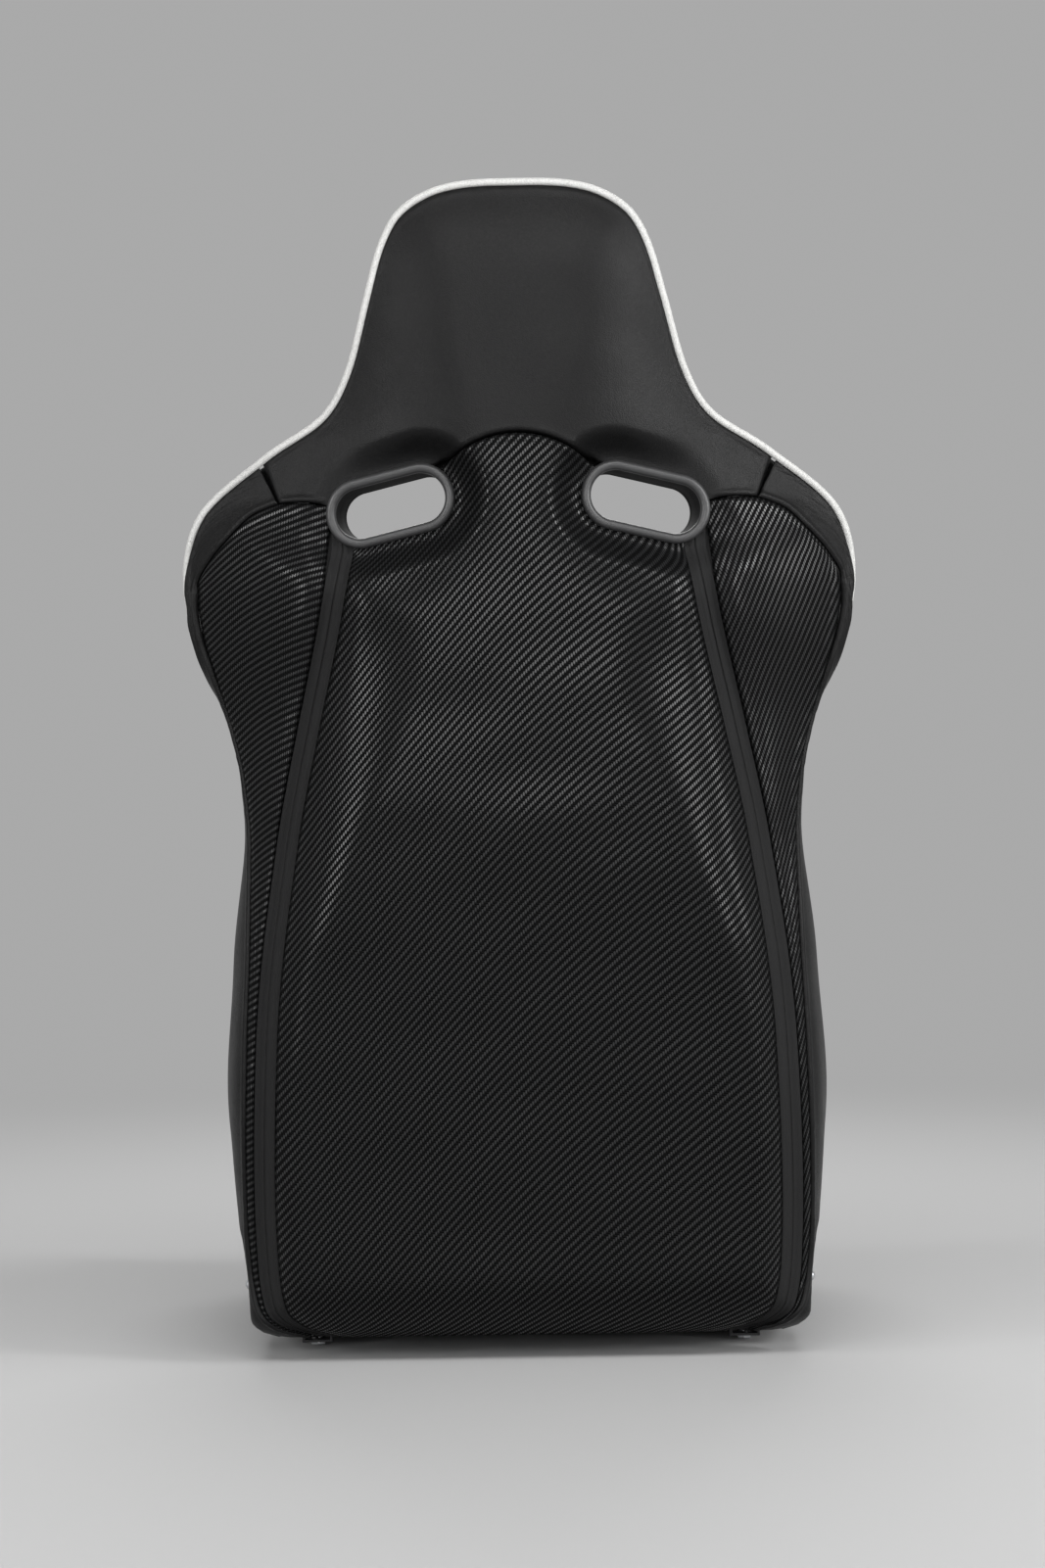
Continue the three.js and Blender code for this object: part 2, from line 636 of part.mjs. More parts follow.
function rearSidePanel() {
  const [first, last] = [SIDE_TOP[0][0], SIDE_TOP.at(-1)[0]];
  const across = SIDE_TOP.map(([x]) => (x - first) / (last - first));
  const onRow = (z) => across.map((u) => [lerp(zipX(z) + panelEdge, sideSeamX(z), u), z]);
  const plan = coverRows.map(onRow);
  const base = plan.at(-1);
  for (const t of [0.5, 1]) {
    plan.push(base.map(([x, z], c) => [lerp(x, SIDE_TOP[c][0], t), lerp(z, SIDE_TOP[c][1], t)]));
  }
  const inward = (r, c) => mitre(sideWrap(plan[r][c][1]) * across[c] ** 3);
  return cut(coverPanel(plan, inward), ...rearSlotTools());
}

/** Points of a line moved aside to its left. */
function movedAside(points, distance) {
  return points.map(([x, z], i) => {
    const [x0, z0] = points[Math.max(0, i - 1)];
    const [x1, z1] = points[Math.min(points.length - 1, i + 1)];
    const length = Math.hypot(x1 - x0, z1 - z0);
    return [x - ((z1 - z0) / length) * distance, z + ((x1 - x0) / length) * distance];
  });
}

const shoulderSeam = movedAside([...SIDE_TOP, [sideSeamX(COVER_ROW_TOP), COVER_ROW_TOP]], SEAM_GAP);
const coverOutline = (zHigh, zLow, count) => outlineMovedIn(coverInset, zHigh, zLow, count);

function rearYoke() {
  const half = 15;
  const lower = [[0, ARCH_Z + SEAM_GAP]];
  for (const x of steps(0, ARCH_HALF, 4).slice(1)) lower.push([x, archZ(x) + SEAM_GAP]);
  lower.push(...shoulderSeam.slice(0, SHOULDER_SEAM_START + 1));
  const upper = coverOutline(BACK_TOP, SHOULDER_SEAM_TOP_Z + SEAM_GAP, half);
  const plan = steps(0, 1, 5).map((s) => {
    const right = steps(0, 1, half).map((t, i) => {
      const [x, z] = alongPolyline(lower, t ** 1.1);
      return [lerp(x, upper[i][0], s), lerp(z, upper[i][1], s)];
    });
    return [...right.slice(1).reverse().map(([x, z]) => [-x, z]), ...right];
  });
  return cut(coverPanel(plan), ...bothSides(rearSlotTools()));
}

const besidePiping = PIPING_RADIUS + 7 * FIT_GAP;  // from the piping's middle to the edge of the gusset

/** Centre of the piping at a height below the shoulders. */
const pipingX = (z) => halfWidth(z) - PIPING_RADIUS - PIPING_TUCK * sideWrap(z);

/** Front edge of the side gusset: along the piping, and behind the recliner low down. */
const GUSSET_RECLINER_Z = 118;
const GUSSET_FULL_DEPTH = 60;             // from this depth on the gusset swells past the outline
const gussetLowY = profile([
  [BACK_BOTTOM, -49],
  [84, -46],
  [GUSSET_RECLINER_Z, pipingY(GUSSET_RECLINER_Z) - 8],
]);
const gussetFrontY = (z) => (z < GUSSET_RECLINER_Z
  ? gussetLowY(z)
  : pipingY(z) - besidePiping * Math.sin((sideWrap(z) * Math.PI) / 2));
const gussetFrontX = (z) => pipingX(z) - besidePiping * Math.cos((sideWrap(z) * Math.PI) / 2);

function sideGusset() {
  const seam = shoulderSeam.slice(SHOULDER_SEAM_START);
  const [first, second] = seam;
  const start = [first[0] + SEAM_GAP, lerp(first[1], second[1], SEAM_GAP / (second[0] - first[0]))];
  const edge = coverOutline(SHOULDER_SEAM_TOP_Z, COVER_ROW_TOP, seam.length - 1);
  const inside = [start, ...seam.slice(1, -1)];
  const outside = edge.slice(0, -1);
  const down = [...coverRows].reverse();
  down.forEach((z, i) => {
    inside.push([sideSeamX(z) + SEAM_GAP, z]);
    outside.push([gussetFrontX(z), z]);
    if (z < WAIST_Z) return;
    const between = (z + down[i + 1]) / 2;
    inside.push([(sideSeamX(z) + sideSeamX(down[i + 1])) / 2 + SEAM_GAP, between]);
    outside.push([gussetFrontX(between), between]);
  });
  const across = [0, 0.12, 0.3, 0.55, 0.8, 1];
  const outer = inside.map(([xIn, zIn], row) => across.map((s) => {
    const [xOut, zOut] = outside[row];
    const wrap = sideWrap(zOut);
    const x = lerp(xIn, xOut, s);
    const z = lerp(zIn, zOut, s);
    if (wrap === 0) return [x, rearY(x, z), z];
    const rearEnd = new THREE.Vector3(xIn, rearY(xIn, zIn), z);
    const frontEnd = new THREE.Vector3(xOut, gussetFrontY(zOut), z);
    const half = halfWidth(z);
    const bulge = Math.min(1, (frontEnd.y - rearEnd.y) / GUSSET_FULL_DEPTH);
    const bend = new THREE.CubicBezierCurve3(
      rearEnd,
      new THREE.Vector3(lerp(xIn, half + 3, bulge), lerp(rearEnd.y, frontEnd.y, 0.15), z),
      new THREE.Vector3(lerp(xOut, half + 4, bulge), lerp(rearEnd.y, frontEnd.y, 0.6), z),
      frontEnd).getPoint(s);
    return [lerp(x, bend.x, wrap), lerp(rearY(x, z), bend.y, wrap), z];
  }));
  const inner = outer.map((row, r) => row.map(([x, y, z], c) => {
    const corner = mitre(sideWrap(outside[r][1]));
    const below = outer[Math.max(0, r - 1)][c];
    const above = outer[Math.min(outer.length - 1, r + 1)][c];
    const nearer = row[Math.max(0, c - 1)];
    const further = row[Math.min(row.length - 1, c + 1)];
    const inwards = new THREE.Vector3(...further).sub(new THREE.Vector3(...nearer))
      .cross(new THREE.Vector3(...below).sub(new THREE.Vector3(...above))).normalize();
    if (inwards.x > inwards.y) inwards.negate();
    const turn = Math.min(1, across[c] * 4);
    return [
      x + lerp(corner[0], inwards.x, turn) * SKIN,
      y + lerp(corner[1], inwards.y, turn) * SKIN,
      z + inwards.z * turn * SKIN,
    ];
  }));
  return slabBetween(outer, inner);
}

function zipTape() {
  const across = [-1, -0.3, -0.12, 0.12, 0.3, 1];
  const rows = [...coverRows, CENTRE_CORNER_Z, ZIP_TOP_Z];
  const recess = SKIN - ZIP_TAPE;
  const outer = rows.map((z) => across.map((u) => {
    const x = zipX(z) + (u * ZIP_WIDTH) / 2;
    const ridge = Math.abs(u) < 0.2 ? ZIP_RIDGE : 0;
    return [x, rearY(x, z) + recess - ridge, z];
  }));
  const inner = rows.map((z) => across.map((u) => {
    const x = zipX(z) + (u * ZIP_WIDTH) / 2;
    return [x, rearY(x, z) + SKIN, z];
  }));
  return cut(slabBetween(outer, inner), ...rearSlotTools());
}

/** Cord between the rear and the front cover, from hip to hip over the head. */
function coverPiping() {
  const low = steps(GUSSET_RECLINER_Z, COVER_ROW_TOP, 15).map((z) => {
    const besideRear = rearY(halfWidth(z) - 2 * PIPING_RADIUS, z) + SKIN / 2;
    return new THREE.Vector3(pipingX(z), lerp(besideRear, pipingY(z), sideWrap(z)), z);
  });
  const high = outlineMovedIn(PIPING_RADIUS, BACK_TOP, COVER_ROW_TOP + 12, 26).map(([x, z], i, all) => {
    const [xIn, zIn] = outlineMovedIn(2 * PIPING_RADIUS, BACK_TOP, COVER_ROW_TOP + 12, all.length - 1)[i];
    return new THREE.Vector3(x, rearY(xIn, zIn) + SKIN / 2, z);
  });
  const right = [...low, ...high.reverse()];
  const left = [...right].slice(0, -1).reverse().map((p) => new THREE.Vector3(-p.x, p.y, p.z));
  const route = new THREE.CatmullRomCurve3([...right, ...left], false, 'centripetal');
  return barAlong(route, PIPING_RADIUS, 84, 6);
}

// ---------------------------------------------------------------- harness bezels

/** Rear half of a bezel: rounded flange with the tunnel that runs through the backrest. */
function bezelRear() {
  const seat = -FIT_GAP;
  const ring = (grow, depthFrom, depthTo) => slotPrism(slotOutline(grow), depthFrom, depthTo);
  const body = joined(
    ring(BEZEL_LIP, seat - BEZEL_RISE * 0.55, seat),
    ring(BEZEL_LIP - 2.4, seat - BEZEL_RISE, seat - BEZEL_RISE * 0.5),
    ring(BEZEL_WALL, seat - 1, SLOT_DEPTH - 6),
  );
  return cut(body, ring(0, -30, SLOT_DEPTH + 30));
}

/** Front half of a bezel: flange on the front cover with a short spigot round the tunnel's end. */
function bezelFront() {
  const seat = SLOT_DEPTH + FIT_GAP;
  const ring = (grow, depthFrom, depthTo) => slotPrism(slotOutline(grow), depthFrom, depthTo);
  const body = joined(
    ring(BEZEL_LIP, seat, seat + BEZEL_RISE * 0.55),
    ring(BEZEL_LIP - 2.4, seat + BEZEL_RISE * 0.5, seat + BEZEL_RISE),
    ring(BEZEL_WALL, SLOT_DEPTH - 6 + FIT_GAP, seat + 1),
  );
  return cut(body, ring(0, -30, SLOT_DEPTH + 30));
}

// ---------------------------------------------------------------- pads of the backrest

const CHEST_CHANNELS = 9;
const CHEST_CHANNEL_DEPTH = 6;
const PAD_CROWN = 9;
const PAD_BOTTOM = 88;
const PAD_LEAST = 5;               // thickness of a pad along its thinnest edge

/** 0 at the sewn edge of a pad and between two flutes, 1 on the crown; t runs from 0 to 1. */
const swell = (t, power = 4) => 1 - Math.abs(2 * t - 1) ** power;

function chestCushion() {
  const rows = CHEST_CHANNELS * 3;
  const plan = steps(0, 1, rows).map((t) => steps(-1, 1, 6).map((u) => {
    const half = chestHalf(lerp(PAD_BOTTOM, ARCH_Z, t)) - SEAM_GAP / 2;
    return [u * half, lerp(PAD_BOTTOM, ARCH_Z, t)];
  }));
  const front = (x, z) => {
    const u = x / (chestHalf(z) - SEAM_GAP / 2);
    const flute = ((z - PAD_BOTTOM) / (ARCH_Z - PAD_BOTTOM)) * CHEST_CHANNELS;
    const crown = PAD_CROWN * swell((u + 1) / 2, 3);
    const channel = CHEST_CHANNEL_DEPTH * (1 - swell(flute - Math.floor(flute), 2)) * swell((u + 1) / 2, 6);
    return flattened(frontCentreY(z) + crown - channel, x, z, SLOT_DEPTH);
  };
  return cut(slabOverPlan(plan, partingY, front), ...bothSides(frontSlotTools()));
}

function backBolster() {
  const topZ = ARCH_Z;
  const plan = steps(0, 1, 15).map((t) => {
    const z = lerp(PAD_BOTTOM + 12, topZ, t);
    const inner = chestHalf(z) + SEAM_GAP / 2;
    const outer = halfWidth(z) - padInset(z);
    return steps(0, 1, 7).map((s) => [lerp(inner, outer, s), z]);
  });
  const front = (x, z) => {
    const t = (z - PAD_BOTTOM - 12) / (topZ - PAD_BOTTOM - 12);
    const ends = PAD_CROWN * (1 - swell(t, 14));
    return Math.max(flattened(bolsterY(x, z) - ends, x, z, SLOT_DEPTH), partingY(x, z) + PAD_LEAST);
  };
  const pocket = plateAcross(
    reclinerArmShape(RUNNING_GAP), ARM_X - RUNNING_GAP, ARM_THICKNESS + 2 * RUNNING_GAP);
  return cut(slabOverPlan(plan, partingY, front), ...frontSlotTools(), pocket);
}

function headCushion() {
  const half = 9;
  const bottomZ = ARCH_Z + SEAM_GAP;
  const outer = outlineMovedIn(coverInset, BACK_TOP, bottomZ + 1, half);
  const reach = outer.at(-1)[0];
  const plan = steps(0, 1, 6).map((s) => {
    const right = steps(0, 1, half).map((t, i) =>
      [lerp(t * reach, outer[i][0], s), lerp(bottomZ, outer[i][1], s)]);
    return [...right.slice(1).reverse().map(([x, z]) => [-x, z]), ...right];
  });
  const front = (x, z) => {
    const rise = Math.min(1, insetAt(x, z) / 46);
    const side = lerp(partingY(x, z) + 9, frontCentreY(z) + PAD_CROWN, 1 - (1 - rise) ** 2.2);
    return side - PAD_CROWN * smoothstep(bottomZ + 16 - z, 0, 16);
  };
  return slabOverPlan(plan, partingY, front);
}

// ---------------------------------------------------------------- back frame

/** Height in y of a bar's centre that rests on the rear face of the pads. */
function behindPads(x, z, radius) {
  const around = [-1, 0, 1].flatMap((i) => [-1, 0, 1].map((k) => partingY(x + i * radius, z + k * radius)));
  return Math.min(...around) - radius - FIT_GAP;
}

const HOOP_FOOT_X = ARM_X - HOOP_RADIUS - 2 * FIT_GAP;
const HOOP_FOOT_Z = PIVOT_Z + DISC_RADIUS + HOOP_RADIUS + 4;
const HOOP_TOP_Z = 905;

/** Route of the right side of the hoop: inside the zips, then outside the harness slots and over the head. */
const hoopRoute = [
  [HOOP_FOOT_X, HOOP_FOOT_Z],
  [HOOP_FOOT_X, HOOP_FOOT_Z + 50],
  ...[240, 320, 400, 475].map((z) => [zipX(z) - HOOP_RADIUS - 18, z]),
  [SLOT_X + 56, SLOT_Z - 140],
  [SLOT_X + 75, SLOT_Z - 88],
  [SLOT_X + 82, SLOT_Z - 40],
  [SLOT_X + 76, SLOT_Z],
  [SLOT_X + 45, SLOT_Z + 33],
  [SLOT_X + 16, SLOT_Z + 55],
  [NECK_HALF - 57, NECK_Z + 6],
  [HEAD_HALF - 30, lerp(NECK_Z, HEAD_Z, 0.4)],
  [HEAD_HALF - 37, HEAD_Z - 6],
  [HEAD_HALF - 55, HOOP_TOP_Z - 16],
  [30, HOOP_TOP_Z],
];
const hoopX = profile(hoopRoute.map(([x, z]) => [z, x]));

function hoopLine() {
  const points = hoopRoute.map(([x, z]) => new THREE.Vector3(x, behindPads(x, z, HOOP_RADIUS), z));
  const left = [...points].reverse().map((p) => new THREE.Vector3(-p.x, p.y, p.z));
  return new THREE.CatmullRomCurve3([...points, ...left], false, 'centripetal');
}

const CROSS_BAR_ZS = [132, 596, 782];
const CROSS_BAR_RADIUS = 7;

/** Bent hoop with its three cross bars, one weldment. */
function backFrame() {
  const hoop = barAlong(hoopLine(), HOOP_RADIUS, 50, 6);
  const bars = CROSS_BAR_ZS.map((z) => {
    const reach = hoopX(z) - HOOP_RADIUS * 0.4;
    const line = steps(-reach, reach, 6).map((x) =>
      new THREE.Vector3(x, behindPads(x, z, CROSS_BAR_RADIUS), z));
    return barAlong(new THREE.CatmullRomCurve3(line), CROSS_BAR_RADIUS, 8, 6);
  });
  return joined(hoop, ...bars);
}

/** Elastic strap between the sides of the hoop, under the pads; its ends dip to the middle of the tube. */
function backStrap(z) {
  const reach = Math.min(hoopX(z), hoopX(z + STRAP_HEIGHT)) - HOOP_RADIUS - 2 * FIT_GAP;
  const plan = steps(z, z + STRAP_HEIGHT, 2).map((height) =>
    steps(-reach, reach, 14).map((x) => [x, height]));
  const dip = HOOP_RADIUS - STRAP_THICKNESS;
  const front = (x, height) =>
    partingY(x, height) - 3 * FIT_GAP - dip * smoothstep(Math.abs(x), reach - 30, reach);
  return slabOverPlan(plan, (x, height) => front(x, height) - STRAP_THICKNESS, front);
}

// ---------------------------------------------------------------- recliner

const movingDiscX = ARM_X + ARM_THICKNESS + FIT_GAP;
const fixedDiscX = movingDiscX + DISC_THICKNESS + RUNNING_GAP;
const bracketX = fixedDiscX + DISC_THICKNESS + FIT_GAP;
const leverX = bracketX + BRACKET_THICKNESS + RUNNING_GAP;
const springX = ARM_X - SPRING_WIDTH - 2;
const RIM_WALL = 2;
const SPRING_OUTER_RADIUS = 24;
const SPRING_PIN_RADIUS = 2.5;

/** Outline in (y, z) of the hull of two circles. */
function linkShape([y0, z0, r0], [y1, z1, r1]) {
  const heading = Math.atan2(z1 - z0, y1 - y0);
  const spread = Math.acos((r0 - r1) / Math.hypot(y1 - y0, z1 - z0));
  const shape = new THREE.Shape();
  shape.absarc(y0, z0, r0, heading + spread, heading - spread + 2 * Math.PI, false);
  shape.absarc(y1, z1, r1, heading - spread, heading + spread, false);
  shape.closePath();
  return shape;
}

function roundHole(shape, y, z, radius) {
  const hole = new THREE.Path();
  hole.absarc(y, z, radius, 0, 2 * Math.PI, true);
  shape.holes.push(hole);
  return shape;
}

const armTop = [behindPads(HOOP_FOOT_X, HOOP_FOOT_Z + 32, HOOP_RADIUS), HOOP_FOOT_Z + 32];

const reclinerArmShape = (grow) =>
  linkShape([0, PIVOT_Z, DISC_RADIUS - RIM_WALL - 1.5 + grow], [...armTop, HOOP_RADIUS + 3 + grow]);

/** Steel arm from the disc up beside the foot of the hoop, with the pin that loads the clock spring. */
function reclinerArm() {
  const shape = roundHole(reclinerArmShape(0), 0, PIVOT_Z, SLEEVE_RADIUS + RUNNING_GAP);
  const pinReach = SPRING_OUTER_RADIUS + FIT_GAP + SPRING_PIN_RADIUS;
  const pinAngle = Math.atan2(armTop[1] - PIVOT_Z, armTop[0]);
  const pin = turnedAcross(
    [[0, springX], [SPRING_PIN_RADIUS, springX], [SPRING_PIN_RADIUS, ARM_X + 1], [0, ARM_X + 1]],
    pinReach * Math.cos(pinAngle), PIVOT_Z + pinReach * Math.sin(pinAngle), 10);
  return joined(plateAcross(shape, ARM_X, ARM_THICKNESS), pin);
}

function reclinerMovingDisc() {
  const outer = DISC_RADIUS - RIM_WALL - RUNNING_GAP;
  const bore = SLEEVE_RADIUS + RUNNING_GAP;
  const [near, far] = [movingDiscX, movingDiscX + DISC_THICKNESS];
  return turnedAcross([[bore, near], [outer, near], [outer, far], [bore, far], [bore, near]], 0, PIVOT_Z, 20);
}

/** Disc half with the crimped rim and the sleeve that carries the clock spring. */
function reclinerFixedDisc() {
  const bore = SHAFT_RADIUS + RUNNING_GAP;
  const rimInner = DISC_RADIUS - RIM_WALL;
  const rimX = movingDiscX + RUNNING_GAP;
  const far = fixedDiscX + DISC_THICKNESS;
  return turnedAcross([[bore, springX], [SLEEVE_RADIUS, springX], [SLEEVE_RADIUS, fixedDiscX],
    [rimInner, fixedDiscX], [rimInner, rimX], [DISC_RADIUS, rimX], [DISC_RADIUS, far - 1],
    [DISC_RADIUS - 1, far], [bore, far], [bore, springX]], 0, PIVOT_Z, 20);
}

/** Flat spiral strip wound round the sleeve, its outer end under the arm's pin. */
function clockSpring() {
  const inner = SLEEVE_RADIUS + FIT_GAP;
  const perTurn = 13;
  const count = Math.round(SPRING_TURNS * perTurn);
  const wall = (offset) => steps(0, 1, count).map((t) => {
    const radius = lerp(inner, SPRING_OUTER_RADIUS - SPRING_STRIP, t) + offset;
    const angle = degToRad(120) + 2 * Math.PI * SPRING_TURNS * t;
    const [y, z] = [radius * Math.cos(angle), PIVOT_Z + radius * Math.sin(angle)];
    return [[springX, y, z], [springX + SPRING_WIDTH, y, z]];
  });
  return slabBetween(wall(SPRING_STRIP), wall(0));
}

/** Steel bracket from the disc down to the end of the rear cross tube. */
function reclinerBracket() {
  const shape = linkShape([0, PIVOT_Z, DISC_RADIUS - 4], [CROSS_REAR_Y + 5, CROSS_Z, CROSS_RADIUS + 6]);
  return plateAcross(roundHole(shape, 0, PIVOT_Z, SHAFT_RADIUS + RUNNING_GAP), bracketX, BRACKET_THICKNESS);
}

const SCREW_SHANK = 2.6;
const SCREW_DEPTH = 14;
const shaftEnd = leverX - FIT_GAP;

/** Cross shaft through both discs, tapped at its ends. */
function releaseShaft() {
  const tapped = SCREW_SHANK + FIT_GAP;
  const floor = shaftEnd - SCREW_DEPTH;
  return turnedAcross([[0, -floor], [tapped, -floor], [tapped, -shaftEnd], [SHAFT_RADIUS, -shaftEnd],
    [SHAFT_RADIUS, shaftEnd], [tapped, shaftEnd], [tapped, floor], [0, floor]], 0, PIVOT_Z, 12);
}

function leverScrew() {
  const head = leverX + LEVER_THICKNESS + FIT_GAP;
  const dome = steps(0, 90, 4).map((degrees) => {
    const angle = degToRad(degrees);
    return [SCREW_RADIUS * Math.cos(angle), head + SCREW_DOME * (0.25 + 0.75 * Math.sin(angle))];
  });
  dome.at(-1)[0] = 0;
  const tip = shaftEnd - SCREW_DEPTH + 1;
  return turnedAcross([[0, tip], [SCREW_SHANK, tip], [SCREW_SHANK, head], [SCREW_RADIUS, head], ...dome],
    0, PIVOT_Z, 12);
}

const LEVER_RISE = 22;
const GRIP_LENGTH = 62;
const GRIP_THICKNESS = 12;

/** Release lever with its moulded grip. */
function releaseLever() {
  const end = [LEVER_REACH - GRIP_LENGTH, PIVOT_Z + LEVER_RISE * 0.7, 8];
  const plate = roundHole(linkShape([0, PIVOT_Z, LEVER_HUB_RADIUS], end), 0, PIVOT_Z, SCREW_SHANK + FIT_GAP);
  const grip = linkShape([end[0] + 8, end[1] + 1, 9], [LEVER_REACH, PIVOT_Z + LEVER_RISE, 7]);
  const gripX = leverX + (LEVER_THICKNESS - GRIP_THICKNESS) / 2;
  return joined(plateAcross(plate, leverX, LEVER_THICKNESS), plateAcross(grip, gripX, GRIP_THICKNESS, 6));
}

// ---------------------------------------------------------------- seat base

const RAIL_Z = BOLT_HEAD;
const padSeatZ = CROSS_Z + CROSS_RADIUS + FIT_GAP;
const cushionSeatZ = padSeatZ + 2 * SEAT_WIRE + FIT_GAP;
const boltPlaces = [
  ['rear_left', -RAIL_X, BOLT_REAR_Y], ['rear_right', RAIL_X, BOLT_REAR_Y],
  ['front_left', -RAIL_X, BOLT_REAR_Y + BOLT_PITCH], ['front_right', RAIL_X, BOLT_REAR_Y + BOLT_PITCH],
];

/** Two box rails and two cross tubes, one weldment, bored for the mounting bolts. */
function baseFrame() {
  const rail = (x, wall, overrun) => boxBetween(
    [x - RAIL_WIDTH / 2 + wall, RAIL_REAR_Y - overrun, RAIL_Z + wall],
    [x + RAIL_WIDTH / 2 - wall, RAIL_FRONT_Y + overrun, RAIL_Z + RAIL_HEIGHT - wall]);
  const crossTube = (y) => turnedAcross([[0, -bracketX + FIT_GAP], [CROSS_RADIUS, -bracketX + FIT_GAP],
    [CROSS_RADIUS, bracketX - FIT_GAP], [0, bracketX - FIT_GAP]], y, CROSS_Z, 12);
  const shell = [-RAIL_X, RAIL_X].map((x) => cut(rail(x, 0, 0), rail(x, RAIL_WALL, 1)));
  const bores = boltPlaces.map(([, x, y]) => {
    const bore = new THREE.CylinderGeometry(BOLT_RADIUS + RUNNING_GAP, BOLT_RADIUS + RUNNING_GAP, 8, 10);
    bore.rotateX(Math.PI / 2);
    bore.translate(x, y, RAIL_Z);
    return bore;
  });
  return cut(joined(...shell, crossTube(CROSS_REAR_Y), crossTube(CROSS_FRONT_Y)), ...bores);
}

/** Hexagon bolt screwed up into a rail. */
function mountBolt(x, y) {
  const head = new THREE.CylinderGeometry(BOLT_ACROSS / Math.sqrt(3), BOLT_ACROSS / Math.sqrt(3),
    BOLT_HEAD - FIT_GAP, 6);
  head.translate(0, (BOLT_HEAD - FIT_GAP) / 2, 0);
  const length = BOLT_HEAD + RAIL_WALL + 7;
  const shank = new THREE.CylinderGeometry(BOLT_RADIUS, BOLT_RADIUS, length - 1, 12);
  shank.translate(0, (length + 1) / 2, 0);
  const bolt = joined(head, shank);
  bolt.rotateX(Math.PI / 2);
  bolt.translate(x, y, 0);
  return bolt;
}

/** Zigzag wire from the rear to the front cross tube. */
function seatSpring(x) {
  const z = padSeatZ + SEAT_WIRE;
  const points = [new THREE.Vector3(x, CROSS_REAR_Y - 6, z), new THREE.Vector3(x, CROSS_REAR_Y + 10, z)];
  const from = CROSS_REAR_Y + 18;
  const to = CROSS_FRONT_Y - 18;
  for (let i = 0; i <= SEAT_SPRING_BENDS; i++) {
    const y = lerp(from, to, i / SEAT_SPRING_BENDS);
    const side = i % 2 ? -Math.sign(x) : Math.sign(x);
    points.push(new THREE.Vector3(x + side * SEAT_SPRING_SWING, y - 5, z));
    points.push(new THREE.Vector3(x + side * SEAT_SPRING_SWING, y + 5, z));
  }
  points.push(new THREE.Vector3(x, CROSS_FRONT_Y - 10, z), new THREE.Vector3(x, CROSS_FRONT_Y + 6, z));
  return barAlong(new THREE.CatmullRomCurve3(points), SEAT_WIRE, 3 * SEAT_SPRING_BENDS + 6, 5);
}

const seatTopZ = profile([
  [SEAT_REAR_Y, SEAT_TOP_REAR_Z],
  [190, SEAT_TOP_REAR_Z - 6],
  [330, lerp(SEAT_TOP_REAR_Z, SEAT_TOP_FRONT_Z, 0.5)],
  [430, SEAT_TOP_FRONT_Z],
  [465, SEAT_TOP_FRONT_Z - 12],
  [SEAT_FRONT_Y, SEAT_TOP_FRONT_Z - 52],
]);
const SEAT_CHANNELS = 6;
const SEAT_CHANNEL_DEPTH = 6;

function seatCushion() {
  const rear = SEAT_REAR_Y - 2;
  const half = SEAT_HALF - SEAM_GAP / 2;
  const floor = steps(0, 1, SEAT_CHANNELS * 3).map((t) => steps(-1, 1, 6).map((u) =>
    [u * half, lerp(rear, SEAT_FRONT_Y, t)]));
  const top = (x, y) => {
    const flute = ((y - rear) / (SEAT_FRONT_Y - rear)) * SEAT_CHANNELS;
    const across = (x / half + 1) / 2;
    const channel = SEAT_CHANNEL_DEPTH * (1 - swell(flute - Math.floor(flute), 2)) * swell(across, 6);
    return seatTopZ(y) + PAD_CROWN * swell(across, 3) - channel;
  };
  return slabBetween(
    floor.map((row) => row.map(([x, y]) => [x, y, top(x, y)])),
    floor.map((row) => row.map(([x, y]) => [x, y, cushionSeatZ])));
}

/** Thigh bolster lofted from rear to front; its outer side is undercut above the release lever. */
function thighBolster() {
  const inner = SEAT_HALF + SEAM_GAP / 2;
  const lowHalf = leverX + (LEVER_THICKNESS - GRIP_THICKNESS) / 2 - 3;
  const section = new THREE.CatmullRomCurve3([
    [inner + 6, padSeatZ + 4],
    [lowHalf - 10, padSeatZ],
    [lowHalf, padSeatZ + 24],
    [lowHalf, THIGH_CREST_Z - THIGH_RECESS],
    [SEAT_OUTER_HALF - 3, THIGH_CREST_Z - 44],
    [SEAT_OUTER_HALF - 4, THIGH_CREST_Z - 18],
    [lowHalf - 8, THIGH_CREST_Z],
    [lerp(inner, lowHalf, 0.55), THIGH_CREST_Z - 12],
    [lerp(inner, lowHalf, 0.24), THIGH_CREST_Z - 54],
    [inner, SEAT_TOP_REAR_Z - 6],
    [inner, SEAT_REAR_Z + 4],
  ].map(([x, z]) => new THREE.Vector3(x, 0, z)), true, 'centripetal').getPoints(22).slice(0, -1);
  const middle = [lerp(inner, lowHalf, 0.5), SEAT_TOP_REAR_Z - 22];
  const rings = [0, 0.05, 0.2, 0.45, 0.7, 0.88, 0.97, 1].map((t) => {
    const draw = t === 0 || t === 1 ? 0.9 : 1;
    const lower = 1 - 0.16 * smoothstep(t, 0.55, 1);
    return section.map((p) => {
      const x = Math.max(inner, lerp(middle[0], p.x, draw));
      const z = Math.max(padSeatZ, lerp(middle[1], p.z, draw) * (p.z > middle[1] ? lower : 1));
      const rear = SEAT_REAR_Y + (z - SEAT_REAR_Z) * SEAT_REAR_LEAN;
      return [x, lerp(rear, SEAT_FRONT_Y - 6, t), z];
    });
  });
  return loft(rings);
}

